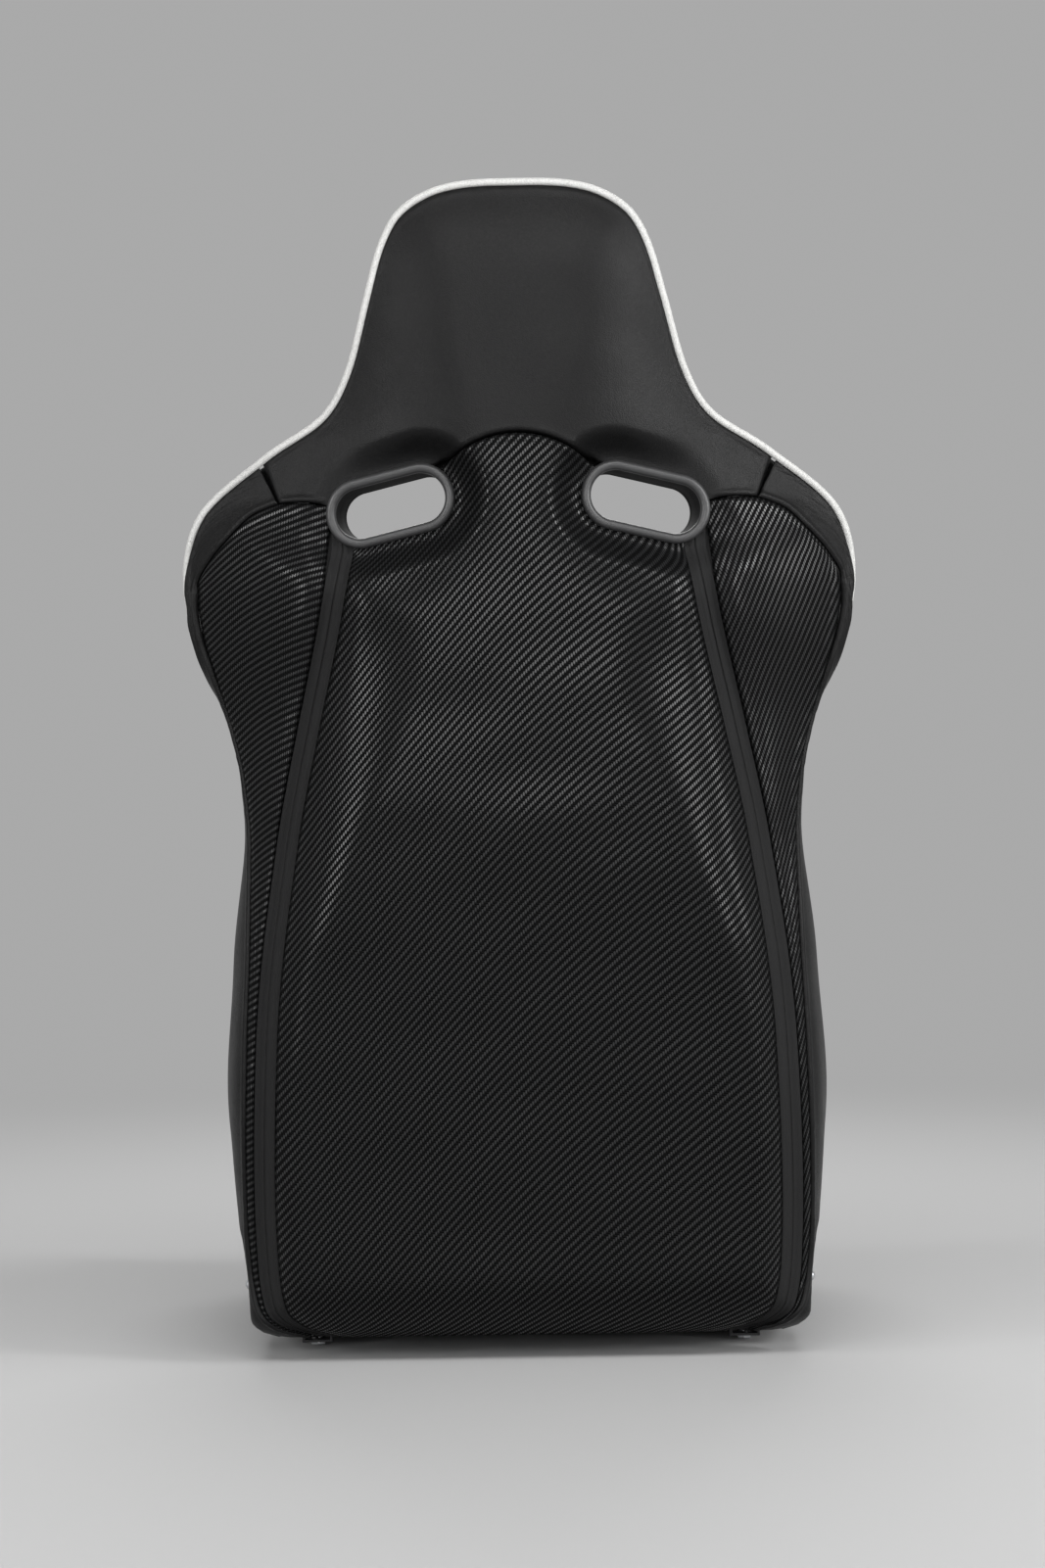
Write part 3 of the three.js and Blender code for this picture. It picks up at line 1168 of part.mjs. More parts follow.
/** Closed body through rings of points, with flat fans over both ends. */
function loft(rings) {
  const count = rings[0].length;
  const vertices = rings.flat();
  const triangles = [];
  for (let r = 0; r < rings.length - 1; r++) {
    for (let i = 0; i < count; i++) {
      const next = (i + 1) % count;
      const [a, b] = [r * count + i, r * count + next];
      triangles.push([a, b, b + count], [a, b + count, a + count]);
    }
  }
  for (const [start, flip] of [[0, true], [(rings.length - 1) * count, false]]) {
    const ring = vertices.slice(start, start + count);
    const middle = [0, 1, 2].map((k) => ring.reduce((sum, p) => sum + p[k], 0) / count);
    vertices.push(middle);
    for (let i = 0; i < count; i++) {
      const [a, b] = [start + i, start + ((i + 1) % count)];
      triangles.push(flip ? [vertices.length - 1, b, a] : [vertices.length - 1, a, b]);
    }
  }
  return closedGeometry(vertices, triangles);
}

// ---------------------------------------------------------------- assembly

const seat = new THREE.Group();

/** Adds a named piece, its faces turned outward. */
function piece(name, geometry, color, roughness, metalness) {
  const position = geometry.attributes.position;
  const index = geometry.index
    ? Array.from(geometry.index.array)
    : Array.from({ length: position.count }, (_, i) => i);
  const [a, b, c] = [0, 1, 2].map(() => new THREE.Vector3());
  let volume = 0;
  for (let i = 0; i < index.length; i += 3) {
    a.fromBufferAttribute(position, index[i]);
    b.fromBufferAttribute(position, index[i + 1]);
    c.fromBufferAttribute(position, index[i + 2]);
    volume += a.dot(b.cross(c));
  }
  if (volume < 0) {
    for (let i = 0; i < index.length; i += 3) {
      [index[i + 1], index[i + 2]] = [index[i + 2], index[i + 1]];
    }
    geometry.setIndex(index);
  }
  const mesh = new THREE.Mesh(geometry, material(color, roughness, metalness));
  mesh.name = name;
  seat.add(mesh);
}

/** Adds a right-hand piece and its mirror image. */
function pair(name, geometry, ...finish) {
  piece(`${name}_right`, geometry, ...finish);
  piece(`${name}_left`, mirrored(geometry), ...finish);
}

piece('rear_centre_panel', rearCentrePanel(), TWILL, 0.35, 0);
pair('rear_side_panel', rearSidePanel(), TWILL, 0.35, 0);
piece('rear_yoke', rearYoke(), LEATHERETTE, 0.55, 0);
pair('side_gusset', sideGusset(), LEATHERETTE, 0.55, 0);
pair('zip_tape', zipTape(), ZIP_BLACK, 0.75, 0);
piece('cover_piping', coverPiping(), PIPING_WHITE, 0.5, 0);
pair('harness_bezel_rear', bezelRear(), PLASTIC_BLACK, 0.4, 0);
pair('harness_bezel_front', bezelFront(), PLASTIC_BLACK, 0.4, 0);
piece('chest_cushion', chestCushion(), LEATHERETTE, 0.6, 0);
pair('back_bolster', backBolster(), LEATHERETTE, 0.55, 0);
piece('head_cushion', headCushion(), LEATHERETTE, 0.55, 0);
piece('back_frame', backFrame(), FRAME_BLACK, 0.5, 0.6);
['low', 'middle', 'high'].forEach((place, i) =>
  piece(`back_strap_${place}`, backStrap(lerp(230, 500, i / 2)), WEBBING, 0.9, 0));
pair('recliner_arm', reclinerArm(), FRAME_BLACK, 0.5, 0.6);
pair('recliner_moving_disc', reclinerMovingDisc(), ZINC, 0.4, 0.9);
pair('recliner_fixed_disc', reclinerFixedDisc(), ZINC, 0.4, 0.9);
pair('clock_spring', clockSpring(), ZINC, 0.35, 0.9);
pair('recliner_bracket', reclinerBracket(), FRAME_BLACK, 0.5, 0.6);
piece('release_shaft', releaseShaft(), ZINC, 0.4, 0.9);
pair('release_lever', releaseLever(), PLASTIC_BLACK, 0.5, 0);
pair('lever_screw', leverScrew(), ZINC, 0.3, 0.95);
piece('base_frame', baseFrame(), FRAME_BLACK, 0.5, 0.6);
for (const [place, x, y] of boltPlaces) piece(`mount_bolt_${place}`, mountBolt(x, y), ZINC, 0.35, 0.9);
for (let i = 0; i < SEAT_SPRING_COUNT; i++) {
  const x = (i - (SEAT_SPRING_COUNT - 1) / 2) * SEAT_SPRING_SPACING;
  piece(`seat_spring_${i + 1}`, seatSpring(x), ZINC, 0.45, 0.8);
}
piece('seat_cushion', seatCushion(), LEATHERETTE, 0.6, 0);
pair('thigh_bolster', thighBolster(), LEATHERETTE, 0.55, 0);

const extent = new THREE.Box3().setFromObject(seat);
seat.position.y = -(extent.min.y + extent.max.y) / 2;

const group = new THREE.Group();
group.add(seat);
export default group;
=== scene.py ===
"""Dresses the reclining racing seat and sets it in a plain studio.

Made here: the zipped rear cover, harness bezels, pads, levers and bolts. The other nodes keep their CAD shape.
"""

import logging
import math
from dataclasses import dataclass, field
from enum import Enum
from typing import Callable, Iterable, Sequence

import bmesh
import bpy
import numpy as np
from mathutils import Matrix, Vector
from mathutils.bvhtree import BVHTree
from mathutils.kdtree import KDTree


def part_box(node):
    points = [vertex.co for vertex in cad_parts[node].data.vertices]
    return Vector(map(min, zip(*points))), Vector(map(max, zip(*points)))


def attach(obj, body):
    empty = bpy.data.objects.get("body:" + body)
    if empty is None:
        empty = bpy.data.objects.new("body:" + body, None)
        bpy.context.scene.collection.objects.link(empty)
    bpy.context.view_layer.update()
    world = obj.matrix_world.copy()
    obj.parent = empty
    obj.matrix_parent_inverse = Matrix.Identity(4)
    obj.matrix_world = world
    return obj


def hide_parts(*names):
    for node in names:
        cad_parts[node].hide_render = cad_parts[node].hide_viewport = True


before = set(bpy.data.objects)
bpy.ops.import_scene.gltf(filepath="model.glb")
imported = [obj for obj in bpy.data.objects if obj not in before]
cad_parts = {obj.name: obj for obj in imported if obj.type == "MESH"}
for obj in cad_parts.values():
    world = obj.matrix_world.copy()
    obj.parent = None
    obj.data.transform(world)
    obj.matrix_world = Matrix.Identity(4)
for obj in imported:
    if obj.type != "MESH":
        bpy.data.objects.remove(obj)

log = logging.getLogger("racing_seat")
MM = 0.001
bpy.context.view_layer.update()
AXIS_Y = 500.0 * (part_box("release_shaft")[0][1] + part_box("release_shaft")[1][1])  # recliner axis, mm
MIRROR = Matrix.Scale(-1, 4, (1, 0, 0))
FLIP = np.array([-1.0, 1.0, 1.0])


class Body(Enum):
    """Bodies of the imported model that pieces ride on."""

    BASE = "seat_base"
    BACK = "backrest"
    RELEASE = "release"


class Side(Enum):
    """The two halves of the seat."""

    RIGHT = 1
    LEFT = -1

    @property
    def suffix(self) -> str:
        """Ending of this side's node names."""
        return "right" if self is Side.RIGHT else "left"


# ------------------------------------------------------------------ numbers and lines


def smoothstep(value: np.ndarray, low: float, high: float) -> np.ndarray:
    """Smooth step from 0 at low to 1 at high."""
    t = np.clip((np.asarray(value, float) - low) / (high - low), 0.0, 1.0)
    return t * t * (3.0 - 2.0 * t)


def lerp(a: float, b: float, t: float) -> float:
    """Value at share t between a and b."""
    return a + (b - a) * t


class Profile:
    """Monotone curve through (key, value) stations, held constant past its ends."""

    def __init__(self, stations: Iterable[tuple[float, float]]) -> None:
        """Sorts the stations and works out a tangent at each.

        Args:
            stations: (key, value) pairs in any order.
        """
        pairs = sorted(stations)
        self.keys = np.array([p[0] for p in pairs], float)
        self.values = np.array([p[1] for p in pairs], float)
        step = np.diff(self.keys)
        slope = np.diff(self.values) / step
        tangent = np.zeros(len(pairs))
        tangent[0], tangent[-1] = slope[0], slope[-1]
        for i in range(1, len(pairs) - 1):
            if slope[i - 1] * slope[i] > 0:
                before, after = 2 * step[i] + step[i - 1], step[i] + 2 * step[i - 1]
                tangent[i] = (before + after) / (before / slope[i - 1] + after / slope[i])
        self.step, self.tangent = step, tangent

    def __call__(self, key: np.ndarray) -> np.ndarray:
        """Values at the keys."""
        k = np.clip(np.asarray(key, float), self.keys[0], self.keys[-1])
        i = np.clip(np.searchsorted(self.keys, k, side="right") - 1, 0, len(self.step) - 1)
        t = (k - self.keys[i]) / self.step[i]
        rest = 1.0 - t
        return (self.values[i] * (1 + 2 * t) * rest * rest + self.values[i + 1] * t * t * (3 - 2 * t)
                + self.step[i] * t * rest * (self.tangent[i] * rest - self.tangent[i + 1] * t))


def smooth_line(points: Sequence[Sequence[float]], per_span: int) -> np.ndarray:
    """Centripetal curve through the points.

    Args:
        points: the points to pass through, in two or three numbers each.
        per_span: samples between two neighbours.

    Returns:
        The sampled points, both ends included.
    """
    p = np.array(points, float)
    p = np.vstack([2 * p[0] - p[1], p, 2 * p[-1] - p[-2]])
    out = []
    for i in range(1, len(p) - 2):
        d = [max(1e-6, float(np.sum((p[i + k] - p[i + k - 1]) ** 2)) ** 0.25) for k in range(0, 3)]
        a = ((p[i] - p[i - 1]) / d[0] - (p[i + 1] - p[i - 1]) / (d[0] + d[1]) + (p[i + 1] - p[i]) / d[1]) * d[1]
        b = ((p[i + 1] - p[i]) / d[1] - (p[i + 2] - p[i]) / (d[1] + d[2]) + (p[i + 2] - p[i + 1]) / d[2]) * d[1]
        t = np.linspace(0, 1, per_span, endpoint=False)[:, None]
        out.append(p[i] + a * t + (3 * (p[i + 1] - p[i]) - 2 * a - b) * t**2 + (2 * (p[i] - p[i + 1]) + a + b) * t**3)
    return np.vstack([*out, p[-2][None]])


def run_of(points: np.ndarray) -> np.ndarray:
    """Length run along a line up to each of its points."""
    return np.concatenate([[0.0], np.cumsum(np.linalg.norm(np.diff(points, axis=0), axis=1))])


def unit(vectors: np.ndarray) -> np.ndarray:
    """The vectors at length 1."""
    return vectors / np.maximum(1e-9, np.linalg.norm(vectors, axis=-1, keepdims=True))


def eased(values: np.ndarray, reach: int) -> np.ndarray:
    """The values averaged over their neighbours, reach of them on each side."""
    kernel = np.hanning(2 * reach + 1)
    return np.convolve(np.pad(values, reach, mode="edge"), kernel / kernel.sum(), mode="valid")


def bezier(points: Sequence[np.ndarray], s: np.ndarray) -> np.ndarray:
    """Cubic curve from the first of four points to the last, at shares s."""
    weights = ((1 - s) ** 3, 3 * s * (1 - s) ** 2, 3 * s * s * (1 - s), s**3)
    return sum(weight * point for weight, point in zip(weights, points))


def along(points: np.ndarray, shares: np.ndarray) -> np.ndarray:
    """Points at the given shares of a polyline's length."""
    p = np.asarray(points, float)
    run = run_of(p)
    at = np.asarray(shares, float) * run[-1]
    return np.stack([np.interp(at, run, p[:, k]) for k in range(p.shape[1])], axis=-1)


def moved_aside(points: np.ndarray, distance: float) -> np.ndarray:
    """A line in the x-z plane moved to its left by a distance."""
    p = np.asarray(points, float)
    ahead = unit(np.vstack([p[1:], p[-1:]]) - np.vstack([p[:1], p[:-1]]))
    return p + distance * np.stack([-ahead[:, 1], ahead[:, 0]], axis=1)


def blurred(image: np.ndarray, sigma: float) -> np.ndarray:
    """A height map blurred by a Gaussian of sigma samples."""
    reach = int(3 * sigma) + 1
    kernel = np.exp(-0.5 * (np.arange(-reach, reach + 1) / sigma) ** 2)
    kernel /= kernel.sum()
    for axis in (0, 1):
        pad = [(reach, reach) if a == axis else (0, 0) for a in (0, 1)]
        wide = np.pad(image, pad, mode="edge")
        image = np.apply_along_axis(lambda row: np.convolve(row, kernel, mode="valid"), axis, wide)
    return image


def ripple(x: np.ndarray, z: np.ndarray, waves: Sequence[tuple[float, float, float, float]]) -> np.ndarray:
    """Sum of slow waves that keeps a stretched cover from looking machined.

    Args:
        x: places across, mm.
        z: heights, mm.
        waves: (length, direction in degrees, phase, height) of each wave.

    Returns:
        The height of the sum at each place, mm.
    """
    total = np.zeros_like(np.asarray(x, float))
    for length, direction, phase, height in waves:
        a = math.radians(direction)
        total = total + height * np.sin((x * math.cos(a) + z * math.sin(a)) * 2 * math.pi / length + phase)
    return total


# ------------------------------------------------------------------ form of the backrest


@dataclass(frozen=True)
class BackForm:
    """Outline and surfaces of the backrest, in mm, with y from the recliner axis."""

    top: float = 950.0
    head: tuple[float, float] = (121.0, 858.0)
    head_cap: tuple[tuple[float, float], ...] = (
        (0, 1), (0.2, 0.998), (0.38, 0.977), (0.53, 0.93), (0.66, 0.85), (0.75, 0.765), (0.815, 0.67), (0.88, 0.513),
        (0.93, 0.341), (0.966, 0.171), (1, 0))
    neck: tuple[float, float] = (157.0, 766.0)
    shoulder: tuple[float, float] = (275.0, 640.0)
    waist: tuple[float, float] = (227.0, 435.0)
    hip: tuple[float, float] = (245.5, 190.0)
    foot: tuple[float, float] = (228.0, 34.0)
    bottom: float = 18.0
    foot_corner: float = 34.0
    rear_lumbar: float = -114.0
    rear_knee: float = -151.0
    rear_head: float = -144.0
    edge_head: float = -112.0
    edge_shoulder: float = -44.0
    edge_hip: float = -58.0
    edge_foot: float = -66.0
    piping_hip: float = 70.0
    skin: float = 2.5
    piping_radius: float = 3.0
    piping_tuck: float = 5.0
    fit_gap: float = 0.35
    seam_gap: float = 0.8
    zip_width: float = 17.5
    valley_depth: float = 11.0
    valley_width: float = 15.0
    arch_half: float = 52.0
    arch_z: float = 744.0
    slot: tuple[float, float, float] = (102.0, -115.0, 690.0)
    slot_size: tuple[float, float] = (90.0, 40.0)
    slot_tilt: float = 13.0
    slot_yaw: float = 8.0
    bezel_lip: float = 8.0
    dent: tuple[float, float] = (2.0, 27.0)
    roll_power: float = 1.8
    cell: float = 1.5

    def __post_init__(self) -> None:
        """Samples the outline and the pillow form once."""
        def put(name: str, value: object) -> None:
            object.__setattr__(self, name, value)

        put("outline", self._outline())
        put("rear_centre", Profile([
            (self.bottom, self.rear_lumbar + 10), (120, self.rear_lumbar),
            (260, lerp(self.rear_lumbar, self.rear_knee, 0.42)), (455, self.rear_knee),
            (self.shoulder[1], self.rear_knee - 2), (self.neck[1], self.rear_knee + 1),
            (self.head[1], self.rear_head), (self.top, self.rear_head + 8)]))
        put("edge", Profile([
            (self.bottom, self.edge_foot), (self.hip[1], self.edge_hip), (self.waist[1], self.edge_hip),
            (550, lerp(self.edge_hip, self.edge_shoulder, 0.7)), (self.shoulder[1], self.edge_shoulder),
            (690, self.edge_shoulder - 9), (self.neck[1] - 16, lerp(self.edge_shoulder, self.edge_head, 0.66)),
            (self.head[1], self.edge_head), (self.top, self.edge_head - 5)]))
        put("roll", Profile([(self.bottom, 48), (self.hip[1], 58), (self.waist[1], 110), (560, 175),
                             (self.shoulder[1], 190), (self.neck[1], 110), (self.head[1], 74), (self.top, 70)]))
        put("zip_x", Profile([(655, 141), (592, 153), (513, 171), (419, 190), (260, 209), (125, 213), (78, 211.5),
                              (44, 206), (27, 190), (self.bottom + 1, 164)]))
        put("side_seam", Profile([
            (630, 262), (616, 262), (588, 258), (561, 250), (533, 241.5), (509, 234.5), (478, 227), (419, 221.5),
            (350, 222), (260, 225.5), (125, 228.5), (78, 226), (44, 219), (27, 204), (self.bottom + 1, 179)]))
        put("wrap", Profile([(540, 1), (632, 0)]))
        put("piping_y", Profile([
            (92, self.piping_hip - 58), (130, self.piping_hip - 16), (250, self.piping_hip),
            (350, self.piping_hip - 14), (self.waist[1], self.piping_hip - 52), (514, self.edge_shoulder + 22),
            (575, self.edge_shoulder + 10),
            *[(z, float(self.edge(z))) for z in (self.shoulder[1], 690, self.neck[1] - 16, self.head[1], self.top)]]))
        xs = np.arange(0.0, 300.0, self.cell)
        zs = np.arange(0.0, 975.0, self.cell)
        grid_x, grid_z = np.meshgrid(xs, zs)
        inset = self._inset(grid_x, grid_z)
        share = np.minimum(1.0, inset / self.roll(grid_z))
        full = 1.0 - np.abs(1.0 - share) ** self.roll_power
        beyond, sigma = 24, 3.2  # cells mirrored past the middle plane, blur in cells
        put("full_map", blurred(np.hstack([full[:, beyond:0:-1], full]), sigma)[:, beyond:])
        put("inset_map", inset)

    def _outline(self) -> np.ndarray:
        """Right half of the outline from the top centre to the bottom centre, as (x, z) points."""
        cap = smooth_line([(x * self.head[0], lerp(self.head[1], self.top, z)) for x, z in self.head_cap], 8)

        def between(a: tuple[float, float], b: tuple[float, float], s: float, t: float) -> tuple[float, float]:
            return lerp(a[0], b[0], s), lerp(a[1], b[1], t)

        flank = smooth_line([
            self.head, between(self.head, self.neck, 0.5, 0.68), self.neck,
            between(self.neck, self.shoulder, 0.41, 0.25), between(self.neck, self.shoulder, 0.88, 0.61),
            self.shoulder, between(self.shoulder, self.waist, 0.24, 0.32),
            between(self.shoulder, self.waist, 0.77, 0.62), self.waist,
            between(self.waist, self.hip, 0.68, 0.45), self.hip, between(self.hip, self.foot, 0.78, 0.72),
            self.foot], 16)[1:]
        turn = np.radians(np.linspace(0, 90, 10))[1:]
        corner = np.stack([self.foot[0] - self.foot_corner * (1 - np.cos(turn)),
                           self.foot[1] - (self.foot[1] - self.bottom) * np.sin(turn)], axis=1)
        return np.vstack([cap, flank, corner, [[0.0, self.bottom]]])

    def half_width(self, z: np.ndarray) -> np.ndarray:
        """Half width of the backrest at the heights."""
        line = self.outline[:-1][::-1]
        return np.interp(z, line[:, 1], line[:, 0])

    def _inset(self, x: np.ndarray, z: np.ndarray) -> np.ndarray:
        """Distance inside the outline, negative outside it."""
        least = np.full(x.shape, np.inf)
        for (x0, z0), (x1, z1) in zip(self.outline[:-1], self.outline[1:]):
            dx, dz = x1 - x0, z1 - z0
            t = np.clip(((x - x0) * dx + (z - z0) * dz) / (dx * dx + dz * dz or 1.0), 0.0, 1.0)
            least = np.minimum(least, np.hypot(x - x0 - t * dx, z - z0 - t * dz))
        outside = (x > self.half_width(z)) | (z > self.top) | (z < self.bottom)
        return np.where(outside, -least, least)

    def _read(self, table: np.ndarray, x: np.ndarray, z: np.ndarray) -> np.ndarray:
        """A map's value at any place, mixed from its four nearest samples."""
        u = np.clip(np.abs(np.asarray(x, float)) / self.cell, 0, table.shape[1] - 1.001)
        v = np.clip(np.asarray(z, float) / self.cell, 0, table.shape[0] - 1.001)
        i, j = u.astype(int), v.astype(int)
        s, t = u - i, v - j
        low = table[j, i] * (1 - s) + table[j, i + 1] * s
        high = table[j + 1, i] * (1 - s) + table[j + 1, i + 1] * s
        return low * (1 - t) + high * t

    def inset(self, x: np.ndarray, z: np.ndarray) -> np.ndarray:
        """Distance from the outline."""
        return self._read(self.inset_map, x, z)

    def pillow(self, x: np.ndarray, z: np.ndarray) -> np.ndarray:
        """Plain rear surface, before the zips and slots draw it in."""
        edge, centre = self.edge(z), self.rear_centre(z)
        return edge + (centre - edge) * self._read(self.full_map, x, z)

    def slot_plane(self, x: np.ndarray) -> np.ndarray:
        """Flat seat round a slot."""
        return self.slot[1] + (np.abs(x) - self.slot[0]) * math.tan(math.radians(self.slot_yaw))

    def outside_slot(self, x: np.ndarray, z: np.ndarray) -> np.ndarray:
        """Distance outside the clear opening of a slot, seen along y."""
        tilt = math.radians(self.slot_tilt)
        across = np.abs(x) - self.slot[0]
        up = z - self.slot[2]
        run = across * math.cos(tilt) - up * math.sin(tilt)
        aside = across * math.sin(tilt) + up * math.cos(tilt)
        straight = (self.slot_size[0] - self.slot_size[1]) / 2
        return np.hypot(np.maximum(0.0, np.abs(run) - straight), aside) - self.slot_size[1] / 2

    def rear(self, x: np.ndarray, z: np.ndarray) -> np.ndarray:
        """Outer face of the rear cover, drawn in along the zips and to the flat seats round the slots."""
        fade = 1.0 - smoothstep(z, 620, 690)
        valley = self.valley_depth * fade * np.exp(-(((np.abs(x) - self.zip_x(z)) / self.valley_width) ** 2))
        plane = self.slot_plane(x)
        free = smoothstep(self.outside_slot(x, z), *(self.bezel_lip + reach for reach in self.dent))
        return plane + (self.pillow(x, z) + valley - plane) * free

    def outline_in(self, distance: float, high: float, low: float, count: int) -> np.ndarray:
        """The outline from one height down to another, moved in by a distance."""
        moved = moved_aside(self.outline, -distance)
        moved[0] = (0.0, self.outline[0, 1] - distance)
        keep = (moved[:, 0] >= 0) & (moved[:, 1] <= high) & (moved[:, 1] >= low)
        return along(moved[keep], np.linspace(0, 1, count + 1))

    def slot_matrix(self, side: Side) -> Matrix:
        """Place of a slot: x along it, y through the backrest, z across it; in metres."""
        turn = Matrix.Rotation(math.radians(self.slot_yaw), 4, "Z") @ Matrix.Rotation(
            math.radians(self.slot_tilt), 4, "Y")
        place = Matrix.Translation(Vector((self.slot[0], self.slot[1] + AXIS_Y, self.slot[2])) * MM) @ turn
        return MIRROR @ place @ MIRROR if side is Side.LEFT else place


BACK = BackForm()


# ------------------------------------------------------------------ meshes


def placed(name: str, data: bpy.types.ID) -> bpy.types.Object:
    """An object of a mesh, lamp or camera in the scene."""
    obj = bpy.data.objects.new(name, data)
    bpy.context.scene.collection.objects.link(obj)
    return obj


def placed_smooth(name: str, mesh: bpy.types.Mesh) -> bpy.types.Object:
    """An object of the mesh in the scene, shaded smooth."""
    mesh.polygons.foreach_set("use_smooth", [True] * len(mesh.polygons))
    return placed(name, mesh)


def in_metres(points: np.ndarray) -> np.ndarray:
    """Points in mm from the recliner axis, in metres of the shared frame."""
    return (points + np.array([0.0, AXIS_Y, 0.0])) * MM


def coordinates(mesh: bpy.types.Mesh) -> np.ndarray:
    """Places of the mesh's vertices, a row each."""
    flat = np.empty(len(mesh.vertices) * 3)
    mesh.vertices.foreach_get("co", flat)
    return flat.reshape(-1, 3)


def tree_of(places: Iterable[Sequence[float]]) -> KDTree:
    """Search tree of the places."""
    places = list(places)
    tree = KDTree(len(places))
    for i, place in enumerate(places):
        tree.insert(place, i)
    tree.balance()
    return tree


def weigh(obj: bpy.types.Object, name: str, weights: np.ndarray, least: float = 0.01) -> None:
    """Gives the object a vertex group with the weights that are over the least one."""
    group = obj.vertex_groups.new(name=name)
    for i, weight in enumerate(weights):
        if weight > least:
            group.add([i], float(weight), "REPLACE")


def grid_normals(points: np.ndarray) -> np.ndarray:
    """Unit normals of a grid of points, rows by columns by three."""
    return unit(np.cross(np.gradient(points, axis=1), np.gradient(points, axis=0)))


def run_lengths(points: np.ndarray, axis: int) -> np.ndarray:
    """Length run along a grid's rows or columns up to each point."""
    step = np.linalg.norm(np.diff(points, axis=axis), axis=2)
    start = np.zeros_like(np.take(step, [0], axis=axis))
    return np.concatenate([start, np.cumsum(step, axis=axis)], axis=axis)


def shell(name: str, outer: np.ndarray, thickness: float, keep: np.ndarray | None = None,
          turn: float = 0.0, plan: np.ndarray | None = None) -> bpy.types.Object:
    """Closed shell of even thickness under a grid of points.

    Args:
        name: object name.
        outer: grid of outer points in mm, rows by columns by three, y from the recliner axis.
        thickness: wall in mm, laid on the side away from the grid's normals.
        keep: mask of the cells that are kept, rows - 1 by columns - 1.
        turn: angle of the woven pattern on the panel, degrees.
        plan: the same grid before it was drawn in, which the woven pattern is laid out on.

    Returns:
        The object, with a UV map in metres along the panel's own surface.
    """
    rows, cols = outer.shape[:2]
    inner = outer - grid_normals(outer) * thickness
    both = in_metres(np.concatenate([outer.reshape(-1, 3), inner.reshape(-1, 3)]))
    mask = np.ones((rows - 1, cols - 1), bool) if keep is None else keep
    n = rows * cols
    r, c = np.nonzero(mask)
    a, b, d, e = r * cols + c, r * cols + c + 1, (r + 1) * cols + c + 1, (r + 1) * cols + c
    faces = [np.stack([a, b, d, e], 1), np.stack([e, d, b, a], 1) + n]
    wide = np.pad(mask, 1)
    for dr, dc, first, second in ((-1, 0, (0, 0), (0, 1)), (1, 0, (1, 1), (1, 0)),
                                  (0, -1, (1, 0), (0, 0)), (0, 1, (0, 1), (1, 1))):
        edge = mask & ~wide[1 + dr:rows + dr, 1 + dc:cols + dc]
        er, ec = np.nonzero(edge)
        p = (er + first[0]) * cols + ec + first[1]
        q = (er + second[0]) * cols + ec + second[1]
        faces.append(np.stack([q, p, p + n, q + n], 1))
    quads = np.concatenate(faces)
    used, quads = np.unique(quads, return_inverse=True)
    quads = quads.reshape(-1, 4)
    mesh = bpy.data.meshes.new(name)
    mesh.from_pydata(both[used].tolist(), [], quads.tolist())
    plan = outer if plan is None else plan
    run = run_lengths(plan, 1)
    u = run - run[:, cols // 2:cols // 2 + 1] + plan[:, cols // 2, 0][:, None]
    v = run_lengths(plan, 0) + plan[0, :, 2][None, :]
    a = math.radians(turn)
    uv = np.stack([u * math.cos(a) + v * math.sin(a), -u * math.sin(a) + v * math.cos(a)], -1).reshape(-1, 2) * MM
    uv = np.concatenate([uv, uv])[used]
    layer = mesh.uv_layers.new(name="cut")
    layer.data.foreach_set("uv", uv[quads.ravel()].ravel())
    mesh.validate()
    obj = placed_smooth(name, mesh)
    face_outward(obj)
    return obj


def face_outward(obj: bpy.types.Object) -> None:
    """Turns a closed mesh so that its faces point out."""
    bm = bmesh.new()
    bm.from_mesh(obj.data)
    if bm.calc_volume(signed=True) < 0:
        bmesh.ops.reverse_faces(bm, faces=bm.faces)
    bm.to_mesh(obj.data)
    bm.free()


def frames_along(line: np.ndarray) -> tuple[np.ndarray, np.ndarray]:
    """Two unit vectors square to a line at each of its points, carried along without twist."""
    ahead = unit(np.gradient(line, axis=0))
    side = np.zeros_like(line)
    side[0] = np.cross(ahead[0], (0.0, 0.0, 1.0))
    if np.linalg.norm(side[0]) < 0.1:
        side[0] = np.cross(ahead[0], (0.0, 1.0, 0.0))
    side[0] /= np.linalg.norm(side[0])
    for i in range(1, len(line)):
        s = side[i - 1] - ahead[i] * np.dot(side[i - 1], ahead[i])
        side[i] = s / np.linalg.norm(s)
    return side, np.cross(ahead, side)


